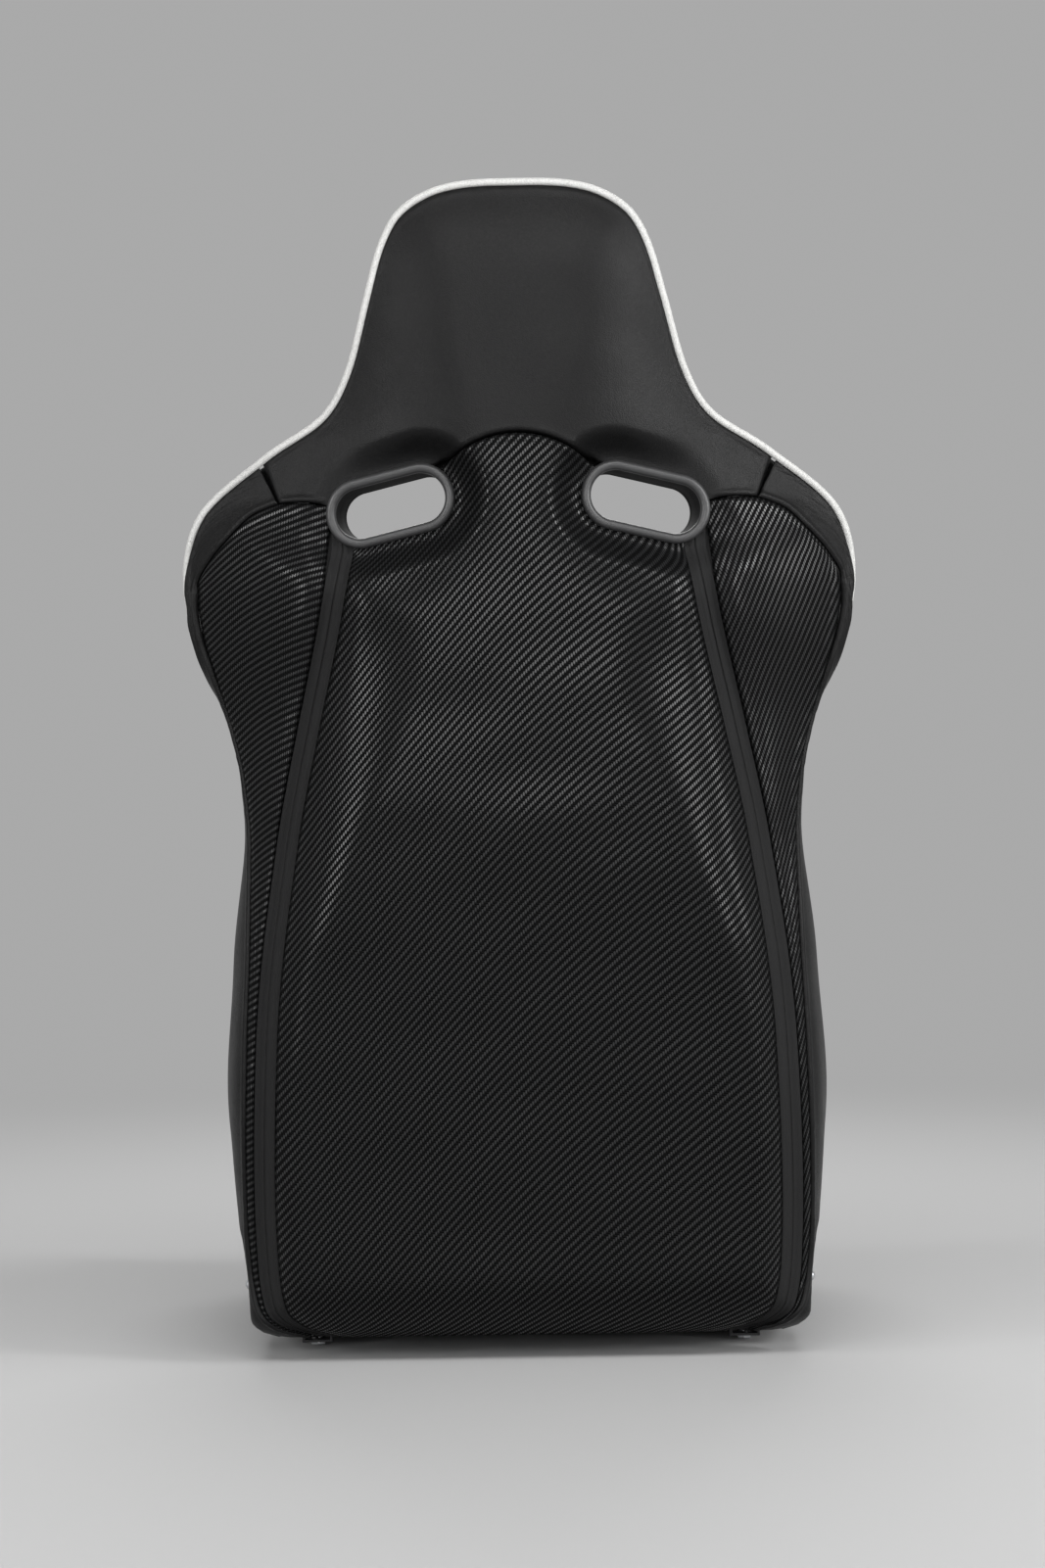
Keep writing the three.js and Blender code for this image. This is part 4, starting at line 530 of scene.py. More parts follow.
def tube(name: str, line: np.ndarray, radius: float, sides: int = 14) -> bpy.types.Object:
    """Round bar with domed ends along a line in mm, with a UV map in metres along it."""
    side, up = frames_along(line)
    run = run_of(line)
    angle = np.linspace(0, 2 * math.pi, sides, endpoint=False)

    def ring(i: int, r: float) -> np.ndarray:
        return line[i] + r * (np.cos(angle)[:, None] * side[i] + np.sin(angle)[:, None] * up[i])

    points = [ring(i, radius) for i in range(len(line))]
    ahead = np.cross(side, up)
    dome = 0.6
    for end, sign in ((0, -1), (len(line) - 1, 1)):
        for k in (0.35, 0.75):
            cap = ring(end, radius * math.sqrt(1 - k * k)) + sign * ahead[end] * radius * k * dome
            points.insert(0 if sign < 0 else len(points), cap)
    run = np.concatenate([[run[0]] * 2, run, [run[-1]] * 2])
    rows = len(points)
    verts = in_metres(np.concatenate(points))
    faces = []
    for i in range(rows - 1):
        for j in range(sides):
            k = (j + 1) % sides
            faces.append((i * sides + j, i * sides + k, (i + 1) * sides + k, (i + 1) * sides + j))
    faces.append(tuple(range(sides))[::-1])
    faces.append(tuple((rows - 1) * sides + j for j in range(sides)))
    mesh = bpy.data.meshes.new(name)
    mesh.from_pydata(verts.tolist(), [], faces)
    layer = mesh.uv_layers.new(name="cut")
    for poly in mesh.polygons:
        for li in poly.loop_indices:
            v = mesh.loops[li].vertex_index
            j = v % sides
            wrap = sides if (j == 0 and any(mesh.loops[k].vertex_index % sides == sides - 1
                                            for k in poly.loop_indices)) else j
            layer.data[li].uv = (wrap / sides * 2 * math.pi * radius * MM, run[v // sides] * MM)
    obj = placed_smooth(name, mesh)
    face_outward(obj)
    return obj


def mirrored_copy(obj: bpy.types.Object, name: str) -> bpy.types.Object:
    """Mirror image of an object across the seat's middle plane, with its own mesh."""
    mesh = obj.data.copy()
    mesh.transform(MIRROR)
    mesh.flip_normals()
    mesh.name = name
    return placed(name, mesh)


def only(obj: bpy.types.Object) -> None:
    """Makes the object the only one selected, and active."""
    bpy.ops.object.select_all(action="DESELECT")
    obj.select_set(True)
    bpy.context.view_layer.objects.active = obj


def apply_modifiers(obj: bpy.types.Object) -> None:
    """Applies every modifier of the object in order."""
    only(obj)
    for modifier in list(obj.modifiers):
        bpy.ops.object.modifier_apply(modifier=modifier.name)


# ------------------------------------------------------------------ finishes


class Nodes:
    """Short way to write a node tree: each call adds a node and returns its output."""

    def __init__(self, tree: bpy.types.NodeTree) -> None:
        """Keeps the tree that nodes are added to."""
        self.tree = tree

    def add(self, kind: str, **values: object) -> bpy.types.Node:
        """Adds a node and sets its properties."""
        node = self.tree.nodes.new(kind)
        for key, value in values.items():
            setattr(node, key, value)
        return node

    def put(self, socket: bpy.types.NodeSocket, value: object) -> None:
        """Links an output to a socket, or sets the socket to a value."""
        if isinstance(value, bpy.types.NodeSocket):
            self.tree.links.new(value, socket)
        elif isinstance(value, (tuple, list)) and len(value) == 3 and socket.type == "RGBA":
            socket.default_value = (*value, 1.0)
        else:
            socket.default_value = value

    def math(self, operation: str, a: object, b: object = 0.0, c: object = 0.0) -> bpy.types.NodeSocket:
        """A Math node's result."""
        node = self.add("ShaderNodeMath", operation=operation)
        for socket, value in zip(node.inputs, (a, b, c)):
            self.put(socket, value)
        return node.outputs[0]

    def mix(self, share: object, a: object, b: object) -> bpy.types.NodeSocket:
        """A colour between a and b."""
        node = self.add("ShaderNodeMix", data_type="RGBA")
        for k, value in ((0, share), (6, a), (7, b)):
            self.put(node.inputs[k], value)
        return node.outputs[2]

    def blend(self, share: object, a: object, b: object) -> bpy.types.NodeSocket:
        """A number between a and b."""
        node = self.add("ShaderNodeMix")
        for k, value in ((0, share), (2, a), (3, b)):
            self.put(node.inputs[k], value)
        return node.outputs[0]

    def split(self, vector: object) -> bpy.types.bpy_prop_collection:
        """The three parts of a vector."""
        node = self.add("ShaderNodeSeparateXYZ")
        self.put(node.inputs[0], vector)
        return node.outputs

    def stretched(self, vector: object, scale: tuple[float, float, float]) -> bpy.types.NodeSocket:
        """A vector with each part scaled."""
        node = self.add("ShaderNodeMapping")
        self.put(node.inputs["Vector"], vector)
        node.inputs["Scale"].default_value = scale
        return node.outputs[0]

    def here(self) -> bpy.types.NodeSocket:
        """Object coordinates."""
        return self.add("ShaderNodeTexCoord").outputs["Object"]

    def cut(self) -> bpy.types.NodeSocket:
        """Coordinates along a panel's own surface."""
        return self.add("ShaderNodeUVMap", uv_map="cut").outputs[0]

    def span(self, value: object, low: float, high: float, to_low: object, to_high: object) -> bpy.types.NodeSocket:
        """A Map Range node's result."""
        node = self.add("ShaderNodeMapRange")
        for socket, item in zip(node.inputs, (value, low, high, to_low, to_high)):
            self.put(socket, item)
        return node.outputs[0]

    def noise(self, where: object, scale: object, detail: float = 2.0, rough: float = 0.5) -> bpy.types.NodeSocket:
        """A Noise texture's value."""
        node = self.add("ShaderNodeTexNoise")
        for key, value in (("Vector", where), ("Scale", scale), ("Detail", detail), ("Roughness", rough)):
            self.put(node.inputs[key], value)
        return node.outputs["Fac"]

    def cells(self, where: object, scale: object) -> bpy.types.NodeSocket:
        """A Voronoi texture's distance."""
        node = self.add("ShaderNodeTexVoronoi", feature="F1")
        for key, value in (("Vector", where), ("Scale", scale), ("Randomness", 1.0)):
            self.put(node.inputs[key], value)
        return node.outputs["Distance"]


def new_group(name: str, inputs: Sequence[tuple[str, str, object]], outputs: Sequence[tuple[str, str]],
              build: Callable[[Nodes, dict[str, bpy.types.NodeSocket]], dict[str, object]]) -> bpy.types.NodeTree:
    """A shader node group with named sockets.

    Args:
        name: group name.
        inputs: (name, socket type, default) of each input.
        outputs: (name, socket type) of each output.
        build: makes the nodes from the inputs and returns what feeds each output.

    Returns:
        The node tree, ready to place in materials.
    """
    tree = bpy.data.node_groups.new(name, "ShaderNodeTree")
    for label, kind, default in inputs:
        socket = tree.interface.new_socket(name=label, in_out="INPUT", socket_type=kind)
        if default is not None:
            socket.default_value = default
    for label, kind in outputs:
        tree.interface.new_socket(name=label, in_out="OUTPUT", socket_type=kind)
    nodes = Nodes(tree)
    source, sink = nodes.add("NodeGroupInput"), nodes.add("NodeGroupOutput")
    results = build(nodes, {label: source.outputs[label] for label, _, _ in inputs})
    for label, value in results.items():
        nodes.put(sink.inputs[label], value)
    return tree


FLOAT, VECTOR = "NodeSocketFloat", "NodeSocketVector"
DUST = (0.35, 0.34, 0.32)


class Effects:
    """The node groups that several finishes share."""

    def __init__(self) -> None:
        """Builds each group once."""
        self.grain = new_group(
            "pebbled_grain", [("Vector", VECTOR, None), ("Scale", FLOAT, 900.0), ("Creases", FLOAT, 0.5)],
            [("Height", FLOAT), ("Mottle", FLOAT)], self._grain)
        self.twill = new_group(
            "two_by_two_twill", [("Vector", VECTOR, None), ("Yarn", FLOAT, 0.0018)],
            [("Height", FLOAT), ("Warp", FLOAT), ("Gap", FLOAT)], self._twill)
        self.plain_weave = new_group(
            "plain_weave", [("Vector", VECTOR, None), ("Yarn", FLOAT, 0.0006)],
            [("Height", FLOAT), ("Shade", FLOAT)], self._plain_weave)
        self.wear = new_group(
            "worn_edges", [("Amount", FLOAT, 0.3)], [("Mask", FLOAT)], self._wear)
        self.dust = new_group(
            "fine_dust", [("Vector", VECTOR, None), ("Amount", FLOAT, 0.3)], [("Mask", FLOAT)], self._dust)

    @staticmethod
    def _grain(n: Nodes, given: dict[str, bpy.types.NodeSocket]) -> dict[str, object]:
        """Pebbles of two sizes with finer creases between them."""
        pebbles = n.cells(given["Vector"], given["Scale"])
        finer = n.cells(given["Vector"], n.math("MULTIPLY", given["Scale"], 2.3))
        folds = n.stretched(given["Vector"], (1.0, 1.0, 0.4))
        warp = n.noise(folds, n.math("MULTIPLY", given["Scale"], 0.42), 4.0, 0.62)
        body = n.math("SUBTRACT", 1.0, n.math("MULTIPLY", pebbles, 1.2))
        body = n.math("ADD", body, n.math("MULTIPLY", finer, -0.35))
        body = n.math("ADD", body, n.math("MULTIPLY", warp, given["Creases"]))
        mottle = n.noise(given["Vector"], n.math("MULTIPLY", given["Scale"], 0.02), 4.0, 0.55)
        return {"Height": body, "Mottle": mottle}

    @staticmethod
    def _twill(n: Nodes, given: dict[str, bpy.types.NodeSocket]) -> dict[str, object]:
        """Yarns that pass over two and under two, each row shifted by one."""
        u, v = (n.math("DIVIDE", part, given["Yarn"]) for part in n.split(given["Vector"])[:2])
        fu, fv = n.math("FRACT", u), n.math("FRACT", v)
        iu, iv = n.math("FLOOR", u), n.math("FLOOR", v)
        phase = n.math("FLOORED_MODULO", n.math("SUBTRACT", iv, iu), 4.0)
        warp = n.math("LESS_THAN", phase, 1.5)
        along_warp = n.math("DIVIDE", n.math("ADD", n.math("FLOORED_MODULO", phase, 2.0), fv), 2.0)
        weft_phase = n.math("FLOORED_MODULO", n.math("SUBTRACT", iu, n.math("ADD", iv, 1.0)), 4.0)
        along_weft = n.math("DIVIDE", n.math("ADD", n.math("FLOORED_MODULO", weft_phase, 2.0), fu), 2.0)

        def yarn(across: object, run: object) -> bpy.types.NodeSocket:
            round_ = n.math("SQRT", n.math("SINE", n.math("MULTIPLY", across, math.pi)))
            arch = n.math("SINE", n.math("MULTIPLY", run, math.pi))
            return n.math("MULTIPLY", round_, n.math("ADD", n.math("MULTIPLY", arch, 0.62), 0.38))

        height = n.blend(warp, yarn(fv, along_weft), yarn(fu, along_warp))
        return {"Height": height, "Warp": warp, "Gap": n.span(height, 0.0, 0.45, 1.0, 0.0)}

    @staticmethod
    def _plain_weave(n: Nodes, given: dict[str, bpy.types.NodeSocket]) -> dict[str, object]:
        """Over one, under one."""
        u, v = (n.math("DIVIDE", part, given["Yarn"]) for part in n.split(given["Vector"])[:2])
        weft, warp = (n.math("ABSOLUTE", n.math("SINE", n.math("MULTIPLY", part, math.pi))) for part in (u, v))
        parity = n.math("FLOORED_MODULO", n.math("ADD", n.math("FLOOR", u), n.math("FLOOR", v)), 2.0)
        return {"Height": n.blend(parity, weft, warp), "Shade": parity}

    @staticmethod
    def _wear(n: Nodes, given: dict[str, bpy.types.NodeSocket]) -> dict[str, object]:
        """Sharp convex edges, broken up by noise."""
        geometry = n.add("ShaderNodeNewGeometry")
        sharp = n.span(geometry.outputs["Pointiness"], 0.52, 0.62, 0.0, 1.0)
        broken = n.span(n.noise(n.here(), 260.0, 4.0, 0.6), 0.4, 0.62, 0.0, 1.0)
        return {"Mask": n.math("MULTIPLY", n.math("MULTIPLY", sharp, broken), given["Amount"])}

    @staticmethod
    def _dust(n: Nodes, given: dict[str, bpy.types.NodeSocket]) -> dict[str, object]:
        """Thin dust, thicker where the surface looks up."""
        geometry = n.add("ShaderNodeNewGeometry")
        up = n.span(n.split(geometry.outputs["Normal"])[2], 0.1, 1.0, 0.25, 1.0)
        specks = n.span(n.noise(given["Vector"], 420.0, 3.0, 0.7), 0.45, 0.8, 0.0, 1.0)
        return {"Mask": n.math("MULTIPLY", n.math("MULTIPLY", up, specks), given["Amount"])}


@dataclass(frozen=True)
class Finish:
    """A material of the seat; the subclasses give its nodes."""

    name: str
    colour: tuple[float, float, float]
    roughness: float
    metallic: float = 0.0
    specular: float = 0.25
    coat_roughness: float = 0.3

    def make(self, effects: Effects) -> bpy.types.Material:
        """Builds the material.

        Args:
            effects: the shared node groups.

        Returns:
            The finished material.
        """
        material = bpy.data.materials.new(self.name)
        material.use_nodes = True
        tree = material.node_tree
        tree.nodes.clear()
        n = Nodes(tree)
        shader, out = n.add("ShaderNodeBsdfPrincipled"), n.add("ShaderNodeOutputMaterial")
        tree.links.new(shader.outputs[0], out.inputs[0])
        shader.inputs["Metallic"].default_value = self.metallic
        shader.inputs["Roughness"].default_value = self.roughness
        shader.inputs["Coat Roughness"].default_value = self.coat_roughness
        shader.inputs["Specular IOR Level"].default_value = self.specular
        n.put(shader.inputs["Base Color"], self.colour)
        self.dress(n, shader, effects)
        material.diffuse_color = (*self.colour, 1.0)
        return material

    def dress(self, n: Nodes, shader: bpy.types.Node, effects: Effects) -> None:
        """Adds the pattern of this finish to the shader."""

    @staticmethod
    def use(n: Nodes, group: bpy.types.NodeTree, **values: object) -> bpy.types.Node:
        """Places a shared group with its own values."""
        node = n.add("ShaderNodeGroup", node_tree=group)
        for key, value in values.items():
            n.put(node.inputs[key], value)
        return node

    def shade(self, share: float) -> tuple[float, ...]:
        """A share of the finish's own colour."""
        return tuple(share * c for c in self.colour)

    def dusted(self, n: Nodes, effects: Effects, base: object, amount: float,
               dust: tuple[float, float, float] = DUST) -> bpy.types.NodeSocket:
        """The base colour under a little dust."""
        return n.mix(self.use(n, effects.dust, Vector=n.here(), Amount=amount).outputs["Mask"], base, dust)

    @staticmethod
    def feed(n: Nodes, shader: bpy.types.Node, base: object, rough: object, height: object, relief: float) -> None:
        """Feeds the shader.

        Args:
            n: the material's nodes.
            shader: the Principled BSDF.
            base: its colour.
            rough: its roughness.
            height: the relief's height map.
            relief: the height that 1 in the map stands for, metres.
        """
        bump = n.add("ShaderNodeBump")
        for key, value in (("Height", height), ("Distance", relief), ("Strength", 1.0)):
            n.put(bump.inputs[key], value)
        for key, value in (("Base Color", base), ("Roughness", rough), ("Normal", bump.outputs[0])):
            n.put(shader.inputs[key], value)


@dataclass(frozen=True)
class GrainedSkin(Finish):
    """Leatherette: pebbled grain, mottled sheen and a little dust."""

    pebbles_per_metre: float = 950.0
    relief: float = 0.00012

    def dress(self, n: Nodes, shader: bpy.types.Node, effects: Effects) -> None:
        """Grain from the shared group, in object coordinates."""
        grain = self.use(n, effects.grain, Vector=n.here(), Scale=self.pebbles_per_metre, Creases=1.3)
        high = grain.outputs["Height"]
        tone = n.span(high, 0.2, 1.1, 0.0, 1.0)
        base = self.dusted(n, effects, n.mix(tone, self.shade(0.55), self.colour), 0.05)
        rough = n.span(grain.outputs["Mottle"], 0.3, 0.7, self.roughness - 0.05, self.roughness + 0.06)
        rough = n.math("ADD", rough, n.span(tone, 0.0, 1.0, 0.12, 0.0))
        self.feed(n, shader, base, rough, high, self.relief)


@dataclass(frozen=True)
class TwillSkin(Finish):
    """Vinyl embossed with a two-by-two twill, on the panel's own cut; its ribs are glossier than its hollows."""

    yarn: float = 0.0018
    relief: float = 0.0005
    rib_gloss: float = 0.55

    def dress(self, n: Nodes, shader: bpy.types.Node, effects: Effects) -> None:
        """Twill relief along the panel's UV map, with the weft floats and the hollows darkened as painted shade
        against the warp floats.
        """
        cut = n.cut()
        twill = self.use(n, effects.twill, Vector=cut, Yarn=self.yarn)
        fine = n.noise(cut, 2600.0, 2.0, 0.6)
        warp, gap, high = (twill.outputs[key] for key in ("Warp", "Gap", "Height"))
        # Painted highlight and shade: warp floats keep the full colour, weft floats take a darker copy and the hollows
        # between yarns go darker still.
        base = n.mix(warp, self.shade(0.22), self.colour)
        base = n.mix(n.math("MULTIPLY", gap, 0.85), base, self.shade(0.06))
        base = self.dusted(n, effects, base, 0.02, (0.15, 0.15, 0.15))
        crown = n.span(high, 0.35, 0.95, 0.0, 1.0)
        gloss = n.math("MULTIPLY", crown, n.span(warp, 0.0, 1.0, 0.0, self.rib_gloss))
        n.put(shader.inputs["Coat Weight"], gloss)
        rough = n.span(warp, 0.0, 1.0, self.roughness + 0.16, self.roughness)
        rough = n.math("ADD", rough, n.math("MULTIPLY", gap, 0.25))
        self.feed(n, shader, base, rough, n.math("ADD", high, n.math("MULTIPLY", fine, 0.05)), self.relief)


@dataclass(frozen=True)
class WovenTape(Finish):
    """Woven polyester: zip tape, webbing, elastic."""

    yarn: float = 0.0006
    relief: float = 0.00012

    def dress(self, n: Nodes, shader: bpy.types.Node, effects: Effects) -> None:
        """Fine weave along the piece's UV map."""
        cut = n.cut()
        weave = self.use(n, effects.plain_weave, Vector=cut, Yarn=self.yarn)
        fuzz = n.noise(cut, 3500.0, 3.0, 0.7)
        base = n.mix(n.math("MULTIPLY", weave.outputs["Shade"], 0.5), self.colour, self.shade(0.6))
        base = n.mix(n.math("MULTIPLY", fuzz, 0.18), base, (0.12, 0.12, 0.12))
        rough = n.span(fuzz, 0.2, 0.8, self.roughness - 0.08, self.roughness + 0.08)
        height = n.math("ADD", weave.outputs["Height"], n.math("MULTIPLY", fuzz, 0.4))
        self.feed(n, shader, base, rough, height, self.relief)


@dataclass(frozen=True)
class Moulded(Finish):
    """Moulded plastic or powder coat: fine spark grain and worn edges."""

    grain_scale: float = 2400.0
    relief: float = 0.00006
    worn: float = 0.25
    worn_colour: tuple[float, float, float] = (0.16, 0.16, 0.16)

    def dress(self, n: Nodes, shader: bpy.types.Node, effects: Effects) -> None:
        """Fine grain, worn edges and dust in object coordinates."""
        where = n.here()
        worn = self.use(n, effects.wear, Amount=self.worn).outputs["Mask"]
        fine = n.noise(where, self.grain_scale, 3.0, 0.6)
        slow = n.noise(where, 30.0, 3.0, 0.55)
        base = n.mix(n.span(slow, 0.3, 0.7, 0.0, 0.4), self.colour, self.shade(0.7))
        base = self.dusted(n, effects, n.mix(worn, base, self.worn_colour), 0.06)
        rough = n.span(slow, 0.3, 0.7, self.roughness - 0.05, self.roughness + 0.07)
        self.feed(n, shader, base, n.math("ADD", rough, n.math("MULTIPLY", fine, 0.06)), fine, self.relief)


@dataclass(frozen=True)
class SewingThread(Finish):
    """Bonded polyester thread: fine twist and a dull shine."""

    relief: float = 0.00008

    def dress(self, n: Nodes, shader: bpy.types.Node, effects: Effects) -> None:
        """Twist and fuzz from noise in object coordinates."""
        twist = n.noise(n.here(), 5200.0, 2.0, 0.6)
        rough = n.span(twist, 0.3, 0.7, self.roughness - 0.08, self.roughness + 0.1)
        self.feed(n, shader, n.mix(twist, self.shade(0.5), self.colour), rough, twist, self.relief)


@dataclass(frozen=True)
class PlatedSteel(Finish):
    """Zinc-plated or bare steel with fine scratches and slight staining."""

    scratch: float = 0.00003

    def dress(self, n: Nodes, shader: bpy.types.Node, effects: Effects) -> None:
        """Brushed noise stretched along x, stains and worn edges."""
        where = n.here()
        lines = n.noise(n.stretched(where, (0.12, 1.0, 1.0)), 2800.0, 3.0, 0.7)
        stain = n.noise(where, 55.0, 4.0, 0.6)
        worn = self.use(n, effects.wear, Amount=0.5).outputs["Mask"]
        base = n.mix(n.span(stain, 0.35, 0.7, 0.0, 0.5), self.colour, self.shade(0.62))
        rough = n.span(stain, 0.3, 0.7, self.roughness - 0.06, self.roughness + 0.1)
        rough = n.math("ADD", rough, n.math("MULTIPLY", lines, 0.12))
        self.feed(n, shader, n.mix(worn, base, (0.8, 0.8, 0.8)), rough, lines, self.scratch)


class FinishBook:
    """Every finish of the seat, made once, under the slot name that pieces ask for."""

    def __init__(self) -> None:
        """Builds the materials."""
        effects = Effects()
        finishes = {
            "twill_vinyl": TwillSkin("twill_vinyl", (0.011, 0.0112, 0.0116), 0.4, specular=0.04, rib_gloss=1.0),
            "leatherette": GrainedSkin("leatherette", (0.0045, 0.0045, 0.0047), 0.36, specular=0.16),
            "zip": WovenTape("zip_tape", (0.006, 0.006, 0.0063), 0.5, specular=0.1, yarn=0.0007),
            "piping": GrainedSkin("white_piping", (0.60, 0.60, 0.585), 0.42, specular=0.4, pebbles_per_metre=1700.0,
                                  relief=0.00003),
            "plastic": Moulded("black_plastic", (0.03, 0.03, 0.031), 0.34, specular=0.6),
            # The tunnel plastic is the bezel plastic darkened: painted shade on the passage wall.
            "tunnel": Moulded("tunnel_plastic_painted_shade", (0.006, 0.006, 0.0063), 0.75, specular=0.08),
            "thread": SewingThread("sewing_thread", (0.05, 0.05, 0.052), 0.5, specular=0.4),
            "webbing": WovenTape("elastic_webbing", (0.05, 0.05, 0.052), 0.85, yarn=0.0011, relief=0.0003),
            "frame_paint": Moulded("powder_coat", (0.022, 0.022, 0.024), 0.45, grain_scale=1300.0, relief=0.00009,
                                   worn=0.35, specular=0.4),
            "zinc_steel": PlatedSteel("zinc_steel", (0.62, 0.63, 0.65), 0.3, metallic=1.0, specular=0.5),
        }
        self.materials = {slot: finish.make(effects) for slot, finish in finishes.items()}

    def give(self, obj: bpy.types.Object, slot: str) -> None:
        """Gives an object the finish of a slot."""
        obj.data.materials.clear()
        obj.data.materials.append(self.materials[slot])

    def declare(self, obj: bpy.types.Object, slot: str, body: Body, node: str) -> None:
        """Dresses a piece, hangs it on its body, hides the CAD node that it replaces and logs the pair.

        Args:
            obj: the piece.
            slot: the name of its finish.
            body: the body that it rides on.
            node: the CAD node that it replaces.
        """
        self.give(obj, slot)
        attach(obj, body.value)
        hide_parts(node)
        log.info("%s for %s", obj.name, node)


# ------------------------------------------------------------------ rear cover


def dress_edge(inside: np.ndarray, drop: float = 2.0, width: float = 2.6) -> np.ndarray:
    """How far a panel's folded edge turns in, at each distance from that edge."""
    t = np.clip(1.0 - inside / width, 0.0, 1.0)
    return drop * (1.0 - np.sqrt(np.clip(1.0 - t * t, 0.0, 1.0)))


def edge_bead(inside: np.ndarray, height: float = 1.0, at: float = 3.4, width: float = 2.4) -> np.ndarray:
    """Soft ridge where the folded seam allowance lies under a panel."""
    return height * np.exp(-(((inside - at) / width) ** 2))


def puckers(run: np.ndarray, inside: np.ndarray, seed: int, height: float = 0.32) -> np.ndarray:
    """Short waves that the stitches pull into a seam, dying away from it."""
    rng = np.random.default_rng(seed)
    total = np.zeros_like(run)
    for length in (8.7, 11.3, 14.9, 21.0):
        total += np.sin(run * 2 * math.pi / length + rng.uniform(0, 6.3)) * rng.uniform(0.6, 1.0)
    return height * total / 2.2 * np.exp(-inside / 9.0) * (1.0 - np.exp(-inside / 1.2))


SLOW_WAVES = ((118.0, 62.0, 0.4, 0.34), (76.0, 118.0, 1.7, 0.24), (163.0, 12.0, 2.6, 0.36), (52.0, 88.0, 4.1, 0.10))
SIDE_WAVES = ((74.0, 20.0, 1.0, 0.4), (131.0, 80.0, 2.2, 0.55))


@dataclass
class RearCover:
    """Twill centre and side panels, yoke, side gussets and zip bands of the rear cover."""

    form: BackForm
    finishes: FinishBook
    side_top: tuple[tuple[float, float], ...] = ((150, 690), (171, 694), (193, 694), (215, 686), (234, 669),
                                                 (250, 652), (262, 634))
    row_top: float = 628.0
    corner_z: float = 660.0
    zip_top: float = 671.0
    seam_top: float = 727.0
    recliner_z: float = 118.0
    step: float = 3.0
    tape: float = 1.4
    under_gusset: float = 4.6
    right_turn: float = 15.0
    left_turn: float = -20.0
    slot_clear: float = 3.5
    flat_lip: tuple[float, float] = (9.0, 14.0)
    arch_drop: float = 18.0
    straight_rows: int = 204

    @property
    def panel_edge(self) -> float:
        """Distance from the zip's middle line to a panel's edge."""
        return self.form.zip_width / 2 + self.form.seam_gap / 2

    @property
    def level(self) -> np.ndarray:
        """Heights of a woven panel's level rows."""
        return np.linspace(self.form.bottom + 1, self.row_top, self.straight_rows)

    def arch(self, x: np.ndarray) -> np.ndarray:
        """Arched seam below the headrest, held at its ends beyond them."""
        f = self.form
        return f.arch_z - self.arch_drop * (np.minimum(x, f.arch_half) / f.arch_half) ** 2

    def centre_top(self, x: np.ndarray) -> np.ndarray:
        """Top seam of the centre panel."""
        f = self.form
        x = np.abs(x)
        arch = self.arch(x)
        end = float(f.zip_x(self.zip_top)) - self.panel_edge
        share = np.clip((x - f.arch_half) / (end - f.arch_half), 0, 1)
        return arch + (self.corner_z - arch) * share

    def slot_keep(self, grid: np.ndarray) -> np.ndarray:
        """Cells of a grid that stay outside a slot's hole."""
        outside = self.form.outside_slot(grid[..., 0], grid[..., 2]) > self.slot_clear
        return outside[:-1, :-1] | outside[1:, 1:] | outside[:-1, 1:] | outside[1:, :-1]

    def relief(self, x: np.ndarray, z: np.ndarray) -> np.ndarray:
        """Slow unevenness of the stretched cover, none near the slots."""
        calm = smoothstep(self.form.outside_slot(x, z), 12, 46)
        return ripple(x, z, SLOW_WAVES) * calm * (0.35 + 0.65 * smoothstep(self.form.inset(x, z), 0, 60))

    def surface(self, x: np.ndarray, z: np.ndarray, raise_: np.ndarray) -> np.ndarray:
        """Points of the rear surface, moved out by a height along y."""
        return np.stack([x, self.form.rear(x, z) - raise_ - self.relief(x, z), z], axis=-1)

    def plan(self, x: np.ndarray, z: np.ndarray) -> np.ndarray:
        """Points of the plain pillow, which a panel's woven pattern is laid out on."""
        return np.stack([x, self.form.pillow(x, z), z], axis=-1)

    def sewn(self, x: np.ndarray, z: np.ndarray, inside: np.ndarray, run: np.ndarray, seed: int,
             bead: float = 1.0, pucker: float = 0.32) -> np.ndarray:
        """Outer face of a panel with its folded edges, flat under the bezels' lips.

        Args:
            x: places across, mm.
            z: heights, mm.
            inside: distance of each place from the panel's nearest edge.
            run: length along that edge.
            seed: seed of the puckers.
            bead: height of the ridge beside the edge.
            pucker: height of the puckers.

        Returns:
            The grid of points.
        """
        free = smoothstep(self.form.outside_slot(x, z), *self.flat_lip)
        folded = edge_bead(inside, bead) - dress_edge(inside)
        return self.surface(x, z, folded * free + puckers(run, inside, seed, pucker) * free)

    def topped(self, xs: np.ndarray, top_x: np.ndarray, top_z: np.ndarray,
               count: int) -> tuple[np.ndarray, np.ndarray]:
        """A panel's level rows with more rows over them, up to its top seam.

        Args:
            xs: places across on the level rows.
            top_x: places across on the top seam.
            top_z: heights of the top seam.
            count: steps from the highest level row to the seam, with both.

        Returns:
            Places across and heights of the whole grid.
        """
        zs = np.repeat(self.level[:, None], xs.shape[1], axis=1)
        t = np.linspace(0, 1, count)[1:, None]
        return (np.vstack([xs, xs[-1] + (top_x - xs[-1]) * t]),
                np.vstack([zs, self.row_top + (top_z - self.row_top) * t]))

    def centre_panel(self) -> bpy.types.Object:
        """The large woven panel between the zips."""
        f = self.form
        u = np.linspace(-1, 1, 151)
        xs = np.array([u * (f.zip_x(z) - self.panel_edge) for z in self.level])
        top_x = u * (float(f.zip_x(self.zip_top)) - self.panel_edge)
        xs, zs = self.topped(xs, top_x, self.centre_top(top_x), 40)
        inside = (1 - np.abs(u))[None, :] * (f.zip_x(zs) - self.panel_edge)
        inside = np.minimum(inside, np.maximum(0.0, (self.centre_top(xs) - zs)) + 0.01)
        grid = self.sewn(xs, zs, inside, zs, 11)
        return shell("rear_centre_cover", grid, f.skin, self.slot_keep(grid), plan=self.plan(xs, zs))

